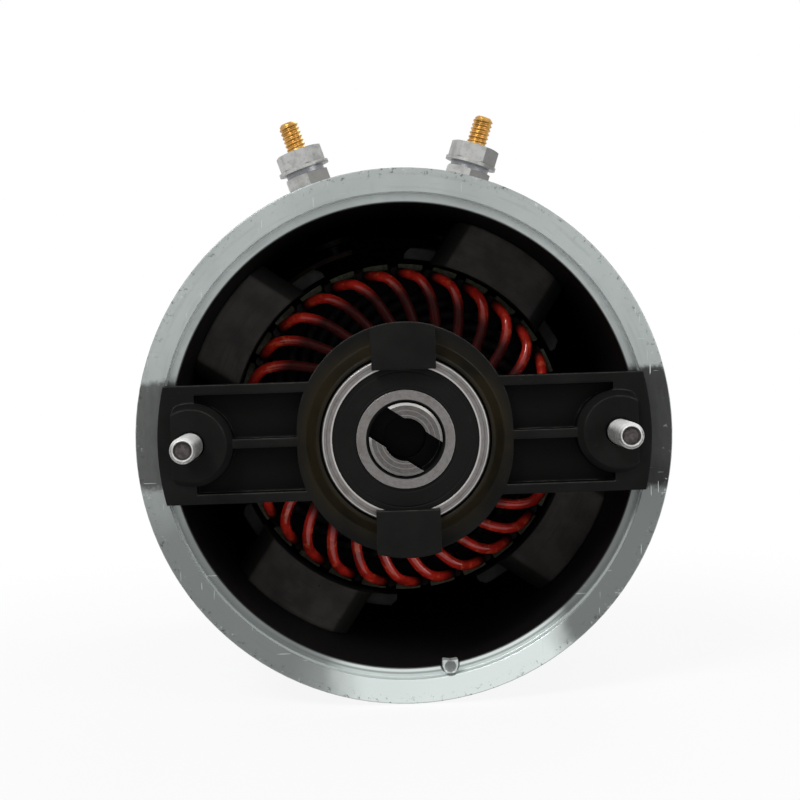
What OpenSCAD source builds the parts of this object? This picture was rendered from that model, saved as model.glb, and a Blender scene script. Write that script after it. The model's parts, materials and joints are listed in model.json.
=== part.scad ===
// Four-pole direct current motor with wound field coils and an open drive end.
// All lengths are in millimetres and all angles in degrees.
// Inside the modules the motor axis is z: z = 0 is the front face of the yoke,
// +z points out of the drive end and +y points up, between the two terminals.
// The module in_frame() lays the axis down, so that the drive end faces -Y and the terminals +Z.

/* [Yoke] */
// Outside diameter of the yoke tube
yoke_d = 127; // [124:1:136]
// Wall of the yoke tube
yoke_wall = 8; // [6:0.5:9]
// Radial width of the register step at the front of the bore
register_step = 2.3; // [1.5:0.1:3]
// Depth of the register step
register_depth = 3; // [2:0.5:4]

/* [Front bracket] */
// Width of the two bracket arms
bracket_width = 27.8; // [26:0.2:30]
// Height of the arms and end blocks in front of the yoke face
bracket_height = 5; // [4:0.5:6]
// Thickness of the side walls of the arms
arm_wall = 2.3; // [1.6:0.1:3]
// Thickness of the rib along the middle of each arm
arm_rib = 2.1; // [1.5:0.1:3]
// Thickness of the web at the bottom of the arms
arm_web = 3; // [2:0.5:4]
// Length of the solid block at each end of the bracket
end_block = 8.8; // [6:0.2:10]
// Radius of the raised pads around the bolts, at their foot
pad_r = 9.8; // [8:0.2:11]
// How much the pads narrow towards their top
pad_draft = 1.4; // [0.4:0.2:2]
// Radius of the pads' outer corners
pad_corner = 3; // [1:0.5:4]
// Height of the raised pads above the arms
pad_height = 2; // [1:0.5:3]
// Distance from the bolt to the flat outer side of its pad
pad_flat = 4.4; // [4:0.2:5]
// Radius of the round sides of the hub
hub_r = 25.3; // [24.5:0.1:27]
// Distance of the upper and lower hub rounds from the shaft axis
hub_stretch = 1.9; // [0:0.1:3]
// Radius at the foot of the conical bearing boss
boss_foot_r = 23.2; // [22.5:0.1:24]
// Wall of the bearing boss at its front edge
boss_lip = 0.8; // [0.6:0.1:1.5]
// Height of the bearing boss in front of the yoke face
boss_height = 9; // [8:0.5:11]
// Width of the two claws that hold the bearing
claw_width = 14.8; // [12:0.2:18]
// How far the claws reach over the bearing
claw_lap = 3.8; // [2.6:0.1:4.5]
// Thickness of the claws
claw_thickness = 3; // [2:0.5:4]

/* [Through bolts] */
// Thread diameter of the through bolts
bolt_d = 6; // [5:0.5:6.5]
// Diameter of the bolt shanks behind the thread
bolt_shank_d = 5.4; // [4.4:0.1:5.9]
// Distance from the yoke's bore inwards to the middle of the through bolts
bolt_inset = 5.5; // [5.2:0.1:6]
// How far the bolt tips stand out of the yoke face
bolt_reach = 24.5; // [15:0.5:30]
// Diameter of the dimple in the bolt tips
bolt_dimple_d = 4; // [2:0.2:4.4]
// Width across the flats of the bolt heads
bolt_head_af = 10; // [9:0.5:12]
// Height of the bolt heads
bolt_head_h = 4; // [3:0.5:6]
// Outside diameter of the bolt washers
bolt_washer_d = 12; // [11:0.5:14]
// Thickness of the bolt washers
bolt_washer_t = 1.5; // [1:0.1:2]

/* [Poles and field coils] */
// Angle of the first pole, counted from the right arm
pole_angle = 56; // [50:1:60]
// Gap between the armature and the poles
air_gap = 1.3; // [1:0.1:1.5]
// Angle that each pole shoe covers
pole_span = 62; // [50:1:64]
// Thickness of the pole shoe
shoe_thickness = 3; // [2.5:0.1:3.5]
// How much of the shoe tips' outer corners is bevelled off
shoe_bevel = 1.6; // [0.4:0.2:2.4]
// Width of the pole body
pole_width = 17; // [14:0.5:19]
// Length of the poles along the axis
pole_length = 54; // [50:1:56]
// Thickness of the field coils along the radius
coil_thickness = 8.3; // [7:0.1:9]
// Gap between the armature and the ends of the field coils, which lap over the shoes
coil_end_gap = 0.4; // [0.4:0.1:3]
// Overall width of the field coils
coil_width = 33; // [30:0.5:34]
// How far the field coils stand out at each end of the poles
coil_overhang = 9; // [8:0.5:9]
// Outer corner radius of the field coils
coil_corner = 5.3; // [4:0.1:6]
// Diameter of the pole screws
pole_screw_d = 10; // [8:0.5:10]
// Diameter of the countersunk heads of the pole screws
pole_screw_head_d = 18; // [16:0.5:19]

/* [Armature] */
// Length of the armature core
core_length = 50; // [46:1:52]
// Depth of the core's front face behind the yoke face
core_depth = 46; // [44:1:50]
// Number of slots and of commutator bars
slot_count = 29; // [25:2:29]
// Width of the slot openings
slot_opening = 2.7; // [2.6:0.1:3]
// Width of the slots below the tooth tips
slot_width = 3.1; // [2.9:0.1:3.6]
// Depth of the slots
slot_depth = 9.2; // [9:0.1:10]
// Thickness of the tooth tips
tooth_tip = 1.2; // [1:0.1:1.4]
// Thickness of the insulating end laminations
end_plate = 1; // [0.6:0.2:1.4]
// Diameter of the enamelled wire
wire_d = 2.5; // [2.2:0.05:2.55]
// Distance of the front end turns in front of the core
crown_rise = 10.2; // [9.5:0.1:11]
// Radius of the inner bends of the front end turns
crown_nose_r = 20.4; // [20:0.1:22]
// Distance between the core and the commutator
rear_crown = 17.6; // [17:0.2:19]

/* [Commutator and brushes] */
// Diameter of the brush track
commutator_d = 42; // [40:0.5:43]
// Diameter of the risers
riser_d = 56; // [56:0.5:58]
// Length of the commutator
commutator_length = 25; // [23:0.5:26]
// Length of the risers
riser_length = 4; // [3:0.5:5]
// Gap between two commutator bars
bar_gap = 0.6; // [0.4:0.1:1]
// Radius of the moulded commutator hub
bar_root_r = 14; // [12:0.5:15]
// Width of the brushes around the commutator
brush_width = 7; // [6:0.5:8]
// Length of the brushes along the axis
brush_length = 12; // [10:0.5:13]
// Length of the brush springs at rest
spring_length = 8.95; // [8:0.05:11]
// Gap between a brush and its box
brush_gap = 0.15; // [0.1:0.05:0.3]
// Wall of the brush boxes
box_wall = 1; // [0.8:0.1:1.2]
// Distance between the brush boxes and the yoke
box_yoke_gap = 8.5; // [8.5:0.1:10]
// Distance between the commutator and the brush boxes
box_lift = 3.5; // [3:0.5:5]
// Thickness of the insulating brush plate
plate_t = 3; // [2:0.5:4]
// Distance from the commutator's end forward to the brush plate's front face
plate_lead = 0.6; // [0:0.1:1.2]
// Gap between the brush plate and the through bolts
plate_bolt_gap = 1.3; // [0.8:0.1:2]
// Width of the copper bows behind the brush plate
bow_width = 1.5; // [1:0.1:2]
// Wire diameter of the brush springs
spring_wire = 0.8; // [0.6:0.1:1]
// Outside diameter of the brush springs
spring_d = 5.6; // [5:0.1:6]
// Number of turns of the brush springs
spring_turns = 4; // [3:0.5:4]

/* [Shaft] */
// Diameter of the shaft in the drive end bearing and the core
shaft_d = 17; // [17:0.5:17]
// Diameter of the shaft under the commutator
commutator_seat_d = 15; // [13:0.5:16]
// Diameter of the shaft in the rear bearing
journal_d = 12; // [12:0.5:12]
// How far the shaft end stands out of the front bearing
shaft_reach = 1; // [0:0.1:2]
// Width of the drive slot
drive_slot_w = 8; // [6:0.5:9]
// Depth of the drive slot
drive_slot_depth = 12; // [8:0.5:16]
// Diameter of the centre bore
centre_bore_d = 10; // [8:0.5:11]
// Depth of the centre bore
centre_bore_depth = 15; // [10:0.5:20]
// Angle of the drive slot, counted from the right arm
drive_slot_angle = -34; // [-90:1:90]
// Outside diameter of the spacer behind the front bearing
spacer_d = 22; // [20:0.5:23]

/* [Bearings] */
// Outside diameter of the front bearing
front_bearing_d = 40; // [40:0.5:40]
// Width of the front bearing
front_bearing_w = 12; // [11:0.5:12]
// Ball diameter of the front bearing
front_ball_d = 6.75; // [6:0.05:7]
// Number of balls in the front bearing
front_ball_count = 8; // [7:1:8]
// Outside diameter of the rear bearing
rear_bearing_d = 32; // [32:0.5:32]
// Width of the rear bearing
rear_bearing_w = 10; // [9:0.5:10]
// Ball diameter of the rear bearing
rear_ball_d = 5.95; // [5.5:0.05:6.2]
// Number of balls in the rear bearing
rear_ball_count = 7; // [6:1:7]
// Thickness of the bearing seals
seal_t = 0.8; // [0.6:0.1:1]
// Depth of the seals below the bearing faces
seal_depth = 0.4; // [0.2:0.1:0.6]
// Play between balls and races
ball_play = 0.02; // [0.01:0.01:0.04]
// Play between the seals and the inner rings
seal_play = 0.05; // [0.03:0.01:0.08]

/* [Terminals] */
// Angle of each terminal from the top of the motor
terminal_angle = 18.5; // [17:0.5:22]
// Distance between the field coils and the terminals' inner washers
terminal_gap = 0.5; // [0.3:0.1:2]
// Thread diameter of the terminal studs
stud_d = 6; // [5:0.5:7]
// Diameter of the studs below the thread's free end
stud_shank_d = 5.4; // [4.4:0.1:6]
// Length of the stud outside the yoke
stud_length = 30; // [28:0.5:34]
// Width across the flats of the terminal nuts
nut_af = 12.6; // [11:0.1:14]
// Height of the terminal nuts
nut_h = 5; // [3.5:0.1:5.5]
// Height of the insulating collar on the yoke
collar_h = 7; // [5:0.2:9]
// Diameter of the insulating collar
collar_d = 17; // [15:0.5:18]
// Thickness of the base washers
base_washer_t = 1.6; // [1:0.1:2]
// Diameter of the flat washers
flat_washer_d = 15.4; // [12:0.2:16]
// Thickness of the flat washers
flat_washer_t = 1; // [0.8:0.1:1.6]
// Thickness of the split spring washers
spring_washer_t = 1.5; // [1.2:0.1:2]
// Thickness of the copper straps
strap_t = 1.5; // [1:0.1:2]

/* [Rear cover] */
// Thickness of the rear cover's plate
cover_t = 6; // [5:0.5:8]
// Length of the spigot that centres the rear cover
cover_spigot = 3; // [2:0.5:4]
// Outside diameter of the rear bearing boss
cover_boss_d = 42; // [40:0.5:44]
// Height of the rear bearing boss behind the cover plate
cover_boss_h = 7; // [6.5:0.5:9]
// Diameter of the posts that carry the brush plate
post_d = 9; // [8:0.5:10]
// Distance from the brush plate's rim inwards to the middle of the posts
post_inset = 5.5; // [5:0.5:7]
// Distance between the brush plate and the rear cover
plate_standoff = 9; // [8:0.5:12]

/* [Hidden] */

// Play of parts that are pressed or slid together by hand
fit_play = 0.02;
// Small overlap of cutting shapes, so that no skin is left
cut = 1;
$fn = 96;

yoke_r = yoke_d / 2;
bore_r = yoke_r - yoke_wall;
register_r = bore_r + register_step;
bolt_r = bore_r - bolt_inset;

// Gap between the field coils and the yoke
coil_yoke_gap = 0.2;
coil_outer_r = bore_r - coil_yoke_gap;
shoe_back_r = coil_outer_r - coil_thickness;
pole_bore_r = shoe_back_r - shoe_thickness;
core_r = pole_bore_r - air_gap;
core_front = -core_depth;
core_rear = core_front - core_length;
core_middle = (core_front + core_rear) / 2;
slot_pitch = 360 / slot_count;

pole_front = core_middle + pole_length / 2;
pole_rear = core_middle - pole_length / 2;
coil_rear = pole_rear - coil_overhang;
coil_window_play = 0.3;

bearing_r = front_bearing_d / 2;
bearing_front = boss_height;
bearing_rear = boss_height - front_bearing_w;
shaft_front = bearing_front + shaft_reach;

riser_front = core_rear - rear_crown;
commutator_rear = riser_front - commutator_length;
riser_r = riser_d / 2;
track_r = commutator_d / 2;

plate_front = commutator_rear + plate_lead;
plate_rear = plate_front - plate_t;
plate_r = bolt_r - bolt_shank_d / 2 - plate_bolt_gap;
plate_hole_r = track_r + box_lift + box_wall;
post_r = plate_r - post_inset;
cover_front = plate_rear - plate_standoff;
cover_rear = cover_front - cover_t;
cover_end = cover_rear - cover_boss_h;
// The yoke reaches from its front face to the rear cover
yoke_rear = cover_front;

wave_t = 0.6;
wave_lift = 0.8;
// Thickness of the cover behind the rear bearing's pocket
cover_floor = 3;
rear_bearing_rear = cover_end + cover_floor + wave_lift + wave_t;
rear_bearing_front = rear_bearing_rear + rear_bearing_w;
rear_bearing_r = rear_bearing_d / 2;

// The contact gap between a brush and the turning commutator
track_play = 0.05;
brush_foot = track_r + track_play;
box_end_r = bore_r - box_yoke_gap;
spring_head = box_end_r - box_wall;
brush_end = spring_head - spring_length;
brush_height = brush_end - brush_foot;
box_inner_w = brush_width + 2 * brush_gap;
box_inner_l = brush_length + 2 * brush_gap;
box_mid_z = plate_front + box_wall + box_inner_l / 2;
box_foot = track_r + box_lift;

nut_corner_d = nut_af / cos(30);
collar_top = yoke_r + collar_h;
base_washer_top = collar_top + base_washer_t;
lower_nut_top = base_washer_top + nut_h;
spring_washer_top = lower_nut_top + spring_washer_t;
flat_washer_top = spring_washer_top + flat_washer_t;
upper_nut_top = flat_washer_top + nut_h;
stud_tip = yoke_r + stud_length;
stud_head_t = 2.5;
inner_washer_t = 1.6;
inner_washer_d = collar_d - 3;
terminal_z = coil_rear - terminal_gap - inner_washer_d / 2;
stud_head_top = bore_r - inner_washer_t;
stud_head_foot = stud_head_top - stud_head_t;
strap_top = stud_head_foot;
strap_foot = strap_top - strap_t;
strap_width = 10;

// Lays the motor axis down: the drive end faces -Y and the terminals point to +Z.
module in_frame() {
  rotate([90, 0, 0]) children();
}

// Tube from z0 up to z1.
module ring(outer_r, inner_r, z0, z1) {
  translate([0, 0, z0]) difference() {
    cylinder(r = outer_r, h = z1 - z0);
    translate([0, 0, -cut]) cylinder(r = inner_r, h = z1 - z0 + 2 * cut);
  }
}

// Disc from z0 up to z1.
module disc(r, z0, z1) {
  translate([0, 0, z0]) cylinder(r = r, h = z1 - z0);
}

// Puts children that are built along +z on the radial line at an angle and a height z.
module radial_at(angle, z) {
  rotate([0, 0, angle]) translate([0, 0, z]) rotate([0, 90, 0]) children();
}

// Flat sector of a ring, from angle a0 to angle a1, which may be up to 170 degrees apart.
module sector(outer_r, inner_r, a0, a1) {
  far = 2 * outer_r;
  middle = (a0 + a1) / 2;
  difference() {
    intersection() {
      circle(r = outer_r);
      polygon([
        [0, 0], far * [cos(a0), sin(a0)], far * [cos(middle), sin(middle)], far * [cos(a1), sin(a1)]
      ]);
    }
    circle(r = inner_r);
  }
}

// Rectangle around the origin with round corners.
module round_rect(w, h, r) {
  square([w - 2 * r, h], center = true);
  square([w, h - 2 * r], center = true);
  for (x = [-1, 1], y = [-1, 1])
    translate([x * (w / 2 - r), y * (h / 2 - r)]) circle(r = r);
}

// Round tubes along paths, as one set of points and faces.
function unit(v) = v / norm(v);
function directions(path) = [
  for (i = [0 : len(path) - 1]) unit(path[min(i + 1, len(path) - 1)] - path[max(i - 1, 0)])
];
function square_to(u, t) = unit(u - (u * t) * t);
function carried(t, start) = [
  for (i = 0, u = square_to(start, t[0]); i < len(t); i = i + 1, u = i < len(t) ? square_to(u, t[i]) : u) u
];
function tube_points(path, r, sides, start) =
  let (t = directions(path), u = carried(t, start))
  [
    for (i = [0 : len(path) - 1], k = [0 : sides - 1])
      let (v = cross(t[i], u[i]), a = 360 * k / sides)
      path[i] + r * (cos(a) * u[i] + sin(a) * v)
  ];
function side_faces(rings, sides, first) = [
  for (i = [0 : rings - 2], k = [0 : sides - 1], half = [0, 1])
    let (
      a = first + i * sides + k,
      b = first + i * sides + (k + 1) % sides,
      c = b + sides,
      d = a + sides
    )
    half == 0 ? [c, b, a] : [d, c, a]
];
function cap_faces(rings, sides, first) = [
  for (k = [1 : sides - 2]) [first, first + k, first + k + 1],
  for (k = [1 : sides - 2])
    let (last = first + (rings - 1) * sides) [last, last + k + 1, last + k]
];
module tubes(paths, r, sides, starts) {
  rings = len(paths[0]);
  polyhedron(
    points = [for (n = [0 : len(paths) - 1]) each tube_points(paths[n], r, sides, starts[n])],
    faces = [
      for (n = [0 : len(paths) - 1], part = [0, 1])
        each part == 0
          ? side_faces(rings, sides, n * rings * sides)
          : cap_faces(rings, sides, n * rings * sides)
    ]
  );
}

// A point from its angle, radius and height.
function polar(p) = [p[1] * cos(p[0]), p[1] * sin(p[0]), p[2]];
function mix(a, b, t) = a + (b - a) * t;
function smooth(t) = t * t * (3 - 2 * t);

// Yoke

module yoke_tube() {
  color("lightsteelblue") in_frame() difference() {
    ring(yoke_r, bore_r, yoke_rear, 0);
    disc(register_r, -register_depth, cut);
    for (k = [0 : 3]) radial_at(pole_angle + 90 * k, core_middle) {
      cylinder(r = pole_hole_r, h = yoke_r + cut);
      rotate_extrude() polygon([
        [0, pole_head_foot], [pole_hole_r, pole_head_foot], [pole_sink_r, pole_head_top],
        [pole_sink_r, yoke_r + cut], [0, yoke_r + cut]
      ]);
    }
    for (side = [-1, 1]) radial_at(90 + side * terminal_angle, terminal_z)
      cylinder(d = sleeve_d + 2 * fit_play, h = yoke_r + cut);
  }
}

// Countersunk head of a pole screw: a cone with its top a little below the yoke's surface
pole_head_h = (pole_screw_head_d - pole_screw_d) / 2;
pole_head_sink = 1.2;
pole_head_top = yoke_r - pole_head_sink;
pole_head_foot = pole_head_top - pole_head_h;
pole_hole_r = pole_screw_d / 2 + fit_play;
pole_sink_r = pole_screw_head_d / 2 + fit_play;
pole_screw_gap = 0.5;
pole_screw_end = shoe_back_r + pole_screw_gap;
screw_slot_w = 2;
screw_slot_depth = 1.8;
// Diameter of the insulating sleeve in the yoke wall
sleeve_d = stud_d + 3;

// Front bracket

module hub_outline() {
  for (side = [-1, 1]) translate([0, side * hub_stretch]) circle(r = hub_r);
  square([2 * hub_r, 2 * hub_stretch], center = true);
}

module bracket_outline() {
  intersection() {
    circle(r = register_r - fit_play);
    square([2 * register_r, bracket_width], center = true);
  }
  hub_outline();
}

module pad_outline() {
  intersection() {
    translate([bolt_r, 0]) circle(r = pad_r);
    translate([bolt_r - pad_r, -pad_r]) square([pad_r + pad_flat, 2 * pad_r]);
  }
}

// The part of a pad above the arm: its round side slopes, its corners are round
module pad_top() {
  intersection() {
    translate([bolt_r, 0, bracket_height])
      cylinder(r1 = pad_r, r2 = pad_r - pad_draft, h = pad_height);
    translate([bolt_r + (pad_flat - pad_r) / 2, 0, bracket_height])
      linear_extrude(pad_height) round_rect(pad_r + pad_flat, 2 * pad_r, pad_corner);
  }
}

// The two pockets of one arm, left and right of its rib
module arm_pockets() {
  difference() {
    translate([0, -bracket_width / 2 + arm_wall])
      square([register_r - end_block, bracket_width - 2 * arm_wall]);
    hub_outline();
    pad_outline();
    translate([0, -arm_rib / 2]) square([register_r, arm_rib]);
  }
}

// One claw: a block on the hub with a lip over the bearing's outer ring
module claw() {
  reach = hub_r + hub_stretch;
  intersection() {
    linear_extrude(boss_height + claw_thickness) hub_outline();
    union() {
      translate([-claw_width / 2, bearing_r, 0])
        cube([claw_width, reach - bearing_r, boss_height + claw_thickness]);
      translate([-claw_width / 2, bearing_r - claw_lap, boss_height])
        cube([claw_width, reach - bearing_r + claw_lap, claw_thickness]);
    }
  }
}

module front_bracket() {
  color([0.11, 0.11, 0.11]) in_frame() difference() {
    union() {
      difference() {
        translate([0, 0, -register_depth])
          linear_extrude(register_depth + bracket_height) bracket_outline();
        for (side = [0, 180]) rotate([0, 0, side])
          translate([0, 0, arm_web - register_depth])
            linear_extrude(bracket_height + register_depth) arm_pockets();
      }
      for (side = [0, 180]) rotate([0, 0, side]) {
        translate([0, 0, -register_depth])
          linear_extrude(register_depth + bracket_height) pad_outline();
        pad_top();
      }
      translate([0, 0, bracket_height]) cylinder(
        r1 = boss_foot_r, r2 = bearing_r + boss_lip, h = boss_height - bracket_height
      );
      for (side = [0, 180]) rotate([0, 0, side]) claw();
    }
    disc(bearing_r + fit_play, -register_depth - cut, boss_height);
    disc(bearing_r - claw_lap, boss_height - cut, boss_height + claw_thickness + cut);
    for (side = [-1, 1]) translate([side * bolt_r, 0, -register_depth - cut])
      cylinder(r = bolt_hole_r, h = register_depth + bracket_height + pad_height + 2 * cut);
  }
}

// Rear cover

module rear_cover() {
  color([0.25, 0.25, 0.26]) in_frame() difference() {
    union() {
      disc(yoke_r, cover_rear, cover_front);
      ring(
        bore_r - spigot_play, bore_r - spigot_wall, cover_front - cut, cover_front + cover_spigot
      );
      disc(cover_boss_d / 2, cover_end, rear_bearing_front - boss_step);
      for (k = [0 : 3]) rotate([0, 0, post_angle + 90 * k]) translate([post_r, 0, 0])
        disc(post_d / 2, cover_front - cut, plate_rear);
    }
    disc(rear_bearing_r + fit_play, cover_end + cover_floor, cover_front + cover_spigot);
    for (side = [-1, 1]) translate([side * bolt_r, 0, 0])
      disc(bolt_hole_r, cover_rear - cut, cover_front + cover_spigot + cut);
    for (k = [0 : 3]) rotate([0, 0, post_angle + 90 * k]) translate([post_r, 0, 0])
      disc(plate_screw_d / 2, plate_rear - plate_screw_depth - cut, plate_rear + cut);
  }
}

// The posts stand halfway between the brushes
post_angle = pole_angle - 45;
plate_screw_d = 4;
plate_screw_depth = 5;
plate_screw_head_d = 7.6;
plate_screw_head_h = 2.4;
plate_screw_slot_w = 1;
// The cover's spigot in the yoke's bore, and the rear end of its bearing boss
spigot_play = 0.05;
spigot_wall = 4;
boss_step = 0.5;

module through_bolts() {
  color("silver") in_frame() for (side = [-1, 1]) translate([side * bolt_r, 0, 0]) difference() {
    union() {
      disc(bolt_shank_d / 2, bolt_seat, thread_foot);
      disc(bolt_d / 2, thread_foot, bolt_reach - bolt_chamfer);
      translate([0, 0, bolt_reach - bolt_chamfer])
        cylinder(r1 = bolt_d / 2, r2 = bolt_d / 2 - bolt_chamfer, h = bolt_chamfer);
      translate([0, 0, bolt_seat - bolt_head_h])
        cylinder(d = bolt_head_af / cos(30), h = bolt_head_h, $fn = 6);
    }
    translate([0, 0, bolt_reach - bolt_dimple_depth])
      cylinder(d1 = bolt_dimple_d * 0.7, d2 = bolt_dimple_d, h = bolt_dimple_depth);
  }
}

bolt_hole_r = bolt_d / 2 + 0.3;
bolt_chamfer = 0.7;
bolt_dimple_depth = 1;
bolt_seat = cover_rear - bolt_washer_t;
// The thread starts just in front of the pads
thread_foot = bracket_height + pad_height + 0.2;

module through_bolt_washers() {
  color("silver") in_frame() for (side = [-1, 1]) translate([side * bolt_r, 0, 0])
    ring(bolt_washer_d / 2, bolt_shank_d / 2 + 0.2, bolt_seat, cover_rear);
}

// Poles and field coils

module pole_outline() {
  difference() {
    union() {
      difference() {
        sector(shoe_back_r, pole_bore_r, -pole_span / 2, pole_span / 2);
        for (side = [-1, 1]) rotate(side * pole_span / 2) translate([shoe_back_r, 0])
          rotate(45) square(shoe_bevel * sqrt(2), center = true);
      }
      intersection() {
        circle(r = bore_r - fit_play);
        translate([pole_bore_r, -pole_width / 2])
          square([bore_r - pole_bore_r + cut, pole_width]);
      }
    }
    circle(r = pole_bore_r);
  }
}

module pole_shoe(k) {
  color([0.3, 0.3, 0.3]) in_frame() difference() {
    rotate([0, 0, pole_angle + 90 * (k - 1)]) translate([0, 0, pole_rear])
      linear_extrude(pole_length) pole_outline();
    radial_at(pole_angle + 90 * (k - 1), core_middle)
      translate([0, 0, pole_screw_end - pole_screw_gap])
        cylinder(d = pole_screw_d + 2 * fit_play, h = yoke_wall + bore_r - pole_screw_end);
  }
}

module pole_screws() {
  color("silver") in_frame() for (k = [0 : 3]) radial_at(pole_angle + 90 * k, core_middle)
    difference() {
      union() {
        translate([0, 0, pole_screw_end])
          cylinder(d = pole_screw_d, h = pole_head_foot - pole_screw_end);
        translate([0, 0, pole_head_foot])
          cylinder(d1 = pole_screw_d, d2 = pole_screw_head_d, h = pole_head_h);
      }
      translate([-pole_screw_head_d, -screw_slot_w / 2, pole_head_top - screw_slot_depth])
        cube([2 * pole_screw_head_d, screw_slot_w, screw_slot_depth + cut]);
    }
}

// A coil is a rounded frame around the pole body, bent to the yoke's bore. Its ends are
// thicker than its sides and lap over the shoe.
module field_coil(k) {
  length = pole_length + 2 * coil_overhang;
  end_r = core_r + coil_end_gap;
  end_foot = pole_length / 2 + coil_window_play;
  color([0.16, 0.15, 0.14]) in_frame() rotate([0, 0, pole_angle + 90 * (k - 1)]) intersection() {
    translate([0, 0, core_middle]) rotate([0, 90, 0]) linear_extrude(bore_r + cut) difference() {
      round_rect(length, coil_width, coil_corner);
      square([pole_length + 2 * coil_window_play, pole_width + 2 * coil_window_play], center = true);
    }
    union() {
      ring(coil_outer_r, shoe_back_r, core_middle - length, core_middle + length);
      ring(shoe_back_r + cut, end_r, core_middle + end_foot, core_middle + length);
      ring(shoe_back_r + cut, end_r, core_middle - length, core_middle - end_foot);
    }
  }
}

// Copper links from coil to coil behind the poles. They stay inside the through bolts.
module coil_links() {
  link_inner_r = bolt_r - bolt_d / 2 - 1.3 - strap_t;
  link_width = 4;
  link_start = 10;
  link_end = 80;
  tab_angle = 4;
  color("peru") in_frame() for (k = [1 : 3]) rotate([0, 0, pole_angle + 90 * k])
    translate([0, 0, coil_rear - link_width]) linear_extrude(link_width) {
      sector(link_inner_r + strap_t, link_inner_r, link_start, link_end);
      for (a = [link_start, link_end - tab_angle])
        sector(shoe_back_r + 4, link_inner_r, a, a + tab_angle);
    }
}

// Terminals

module at_terminals() {
  for (side = [-1, 1]) radial_at(90 + side * terminal_angle, terminal_z) children();
}

module terminal_stud(side) {
  color("goldenrod") in_frame() radial_at(90 + side * terminal_angle, terminal_z) {
    translate([0, 0, stud_head_foot]) cylinder(d = stud_head_d, h = stud_head_t);
    translate([0, 0, stud_head_foot])
      cylinder(d = stud_shank_d, h = upper_nut_top - stud_head_foot);
    translate([0, 0, upper_nut_top])
      cylinder(d = stud_d, h = stud_tip - stud_chamfer - upper_nut_top);
    translate([0, 0, stud_tip - stud_chamfer])
      cylinder(d1 = stud_d, d2 = stud_d - 2 * stud_chamfer, h = stud_chamfer);
  }
}

stud_head_d = stud_d + 4;
// Slope of the turned-down corners of the nuts
nut_chamfer_angle = 16;
stud_chamfer = 0.7;
// Play of the bushes and washers on the stud's thread
stud_play = 0.25;

// Collar outside, sleeve through the wall and washer inside, as one bush around the stud
module terminal_insulators() {
  color([0.2, 0.16, 0.12]) in_frame() for (side = [-1, 1]) difference() {
    radial_at(90 + side * terminal_angle, terminal_z) difference() {
      union() {
        translate([0, 0, yoke_r - 2]) cylinder(d = collar_d, h = collar_h + 2);
        translate([0, 0, stud_head_top]) cylinder(d = sleeve_d, h = collar_top - stud_head_top);
        translate([0, 0, stud_head_top]) cylinder(d = inner_washer_d, h = inner_washer_t + cut);
      }
      translate([0, 0, stud_head_top - cut]) cylinder(d = stud_d + 2 * stud_play, h = yoke_r);
    }
    difference() {
      ring(yoke_r, bore_r, yoke_rear, -register_depth);
      radial_at(90 + side * terminal_angle, terminal_z) cylinder(d = sleeve_d, h = yoke_r + cut);
    }
  }
}

module terminal_washer(z0, t, d) {
  in_frame() at_terminals() ring(d / 2, stud_d / 2 + stud_play, z0, z0 + t);
}

module terminal_base_washers() {
  color("silver") terminal_washer(collar_top, base_washer_t, collar_d - 2);
}

module terminal_flat_washers() {
  color("silver") terminal_washer(spring_washer_top, flat_washer_t, flat_washer_d);
}

// A split washer: a flat ring with one slanted cut
module terminal_spring_washers() {
  color("silver") in_frame() at_terminals() difference() {
    ring(nut_af / 2 - 0.5, stud_d / 2 + stud_play, lower_nut_top, spring_washer_top);
    translate([stud_d / 2, 0, (lower_nut_top + spring_washer_top) / 2])
      rotate([35, 0, 0]) cube([nut_af, 0.8, 4 * spring_washer_t], center = true);
  }
}

// Hexagon nut with its corners turned down at both faces
module terminal_nut(z0, turn) {
  flat_r = nut_af / 2;
  far_r = nut_af;
  rise = (far_r - flat_r) * tan(nut_chamfer_angle);
  translate([0, 0, z0]) difference() {
    intersection() {
      rotate([0, 0, turn]) cylinder(d = nut_corner_d, h = nut_h, $fn = 6);
      rotate_extrude() polygon([
        [0, 0], [flat_r, 0], [far_r, rise], [far_r, nut_h - rise], [flat_r, nut_h], [0, nut_h]
      ]);
    }
    translate([0, 0, -cut]) cylinder(d = stud_shank_d + 2 * fit_play, h = nut_h + 2 * cut);
  }
}

module terminal_lower_nuts() {
  color("silver") in_frame() at_terminals() terminal_nut(base_washer_top, 3);
}

module terminal_upper_nuts() {
  color("silver") in_frame() for (side = [-1, 1])
    radial_at(90 + side * terminal_angle, terminal_z) terminal_nut(flat_washer_top, 19 - 6 * side);
}

// Copper straps inside the yoke: from the left stud to a field coil, and from the right
// stud to a brush box.
module terminal_straps() {
  coil_end = pole_angle + 90 - 6;
  left = 90 + terminal_angle;
  right = 90 - terminal_angle;
  half_angle = 5.5;
  box_z = box_mid_z + 2;
  color("peru") in_frame() {
    translate([0, 0, terminal_z - strap_width / 2]) linear_extrude(strap_width)
      sector(strap_top, strap_foot, left - half_angle, coil_end);
    translate([0, 0, terminal_z]) linear_extrude(coil_rear - terminal_z)
      sector(strap_top, strap_foot, coil_end - 8, coil_end);
    translate([0, 0, terminal_z - strap_width / 2]) linear_extrude(strap_width - 1)
      sector(strap_top, strap_foot, pole_angle - 4, right + half_angle);
    translate([0, 0, box_z]) linear_extrude(terminal_z - box_z) {
      sector(strap_top, strap_foot, pole_angle - 4, pole_angle + 4);
    }
    translate([0, 0, box_z]) linear_extrude(3) rotate([0, 0, pole_angle])
      translate([box_end_r, -2.5]) square([strap_foot - box_end_r + strap_t / 2, 5]);
  }
}

// Ball bearings. All rings, seals, balls and cages come from the same few sizes.

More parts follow.
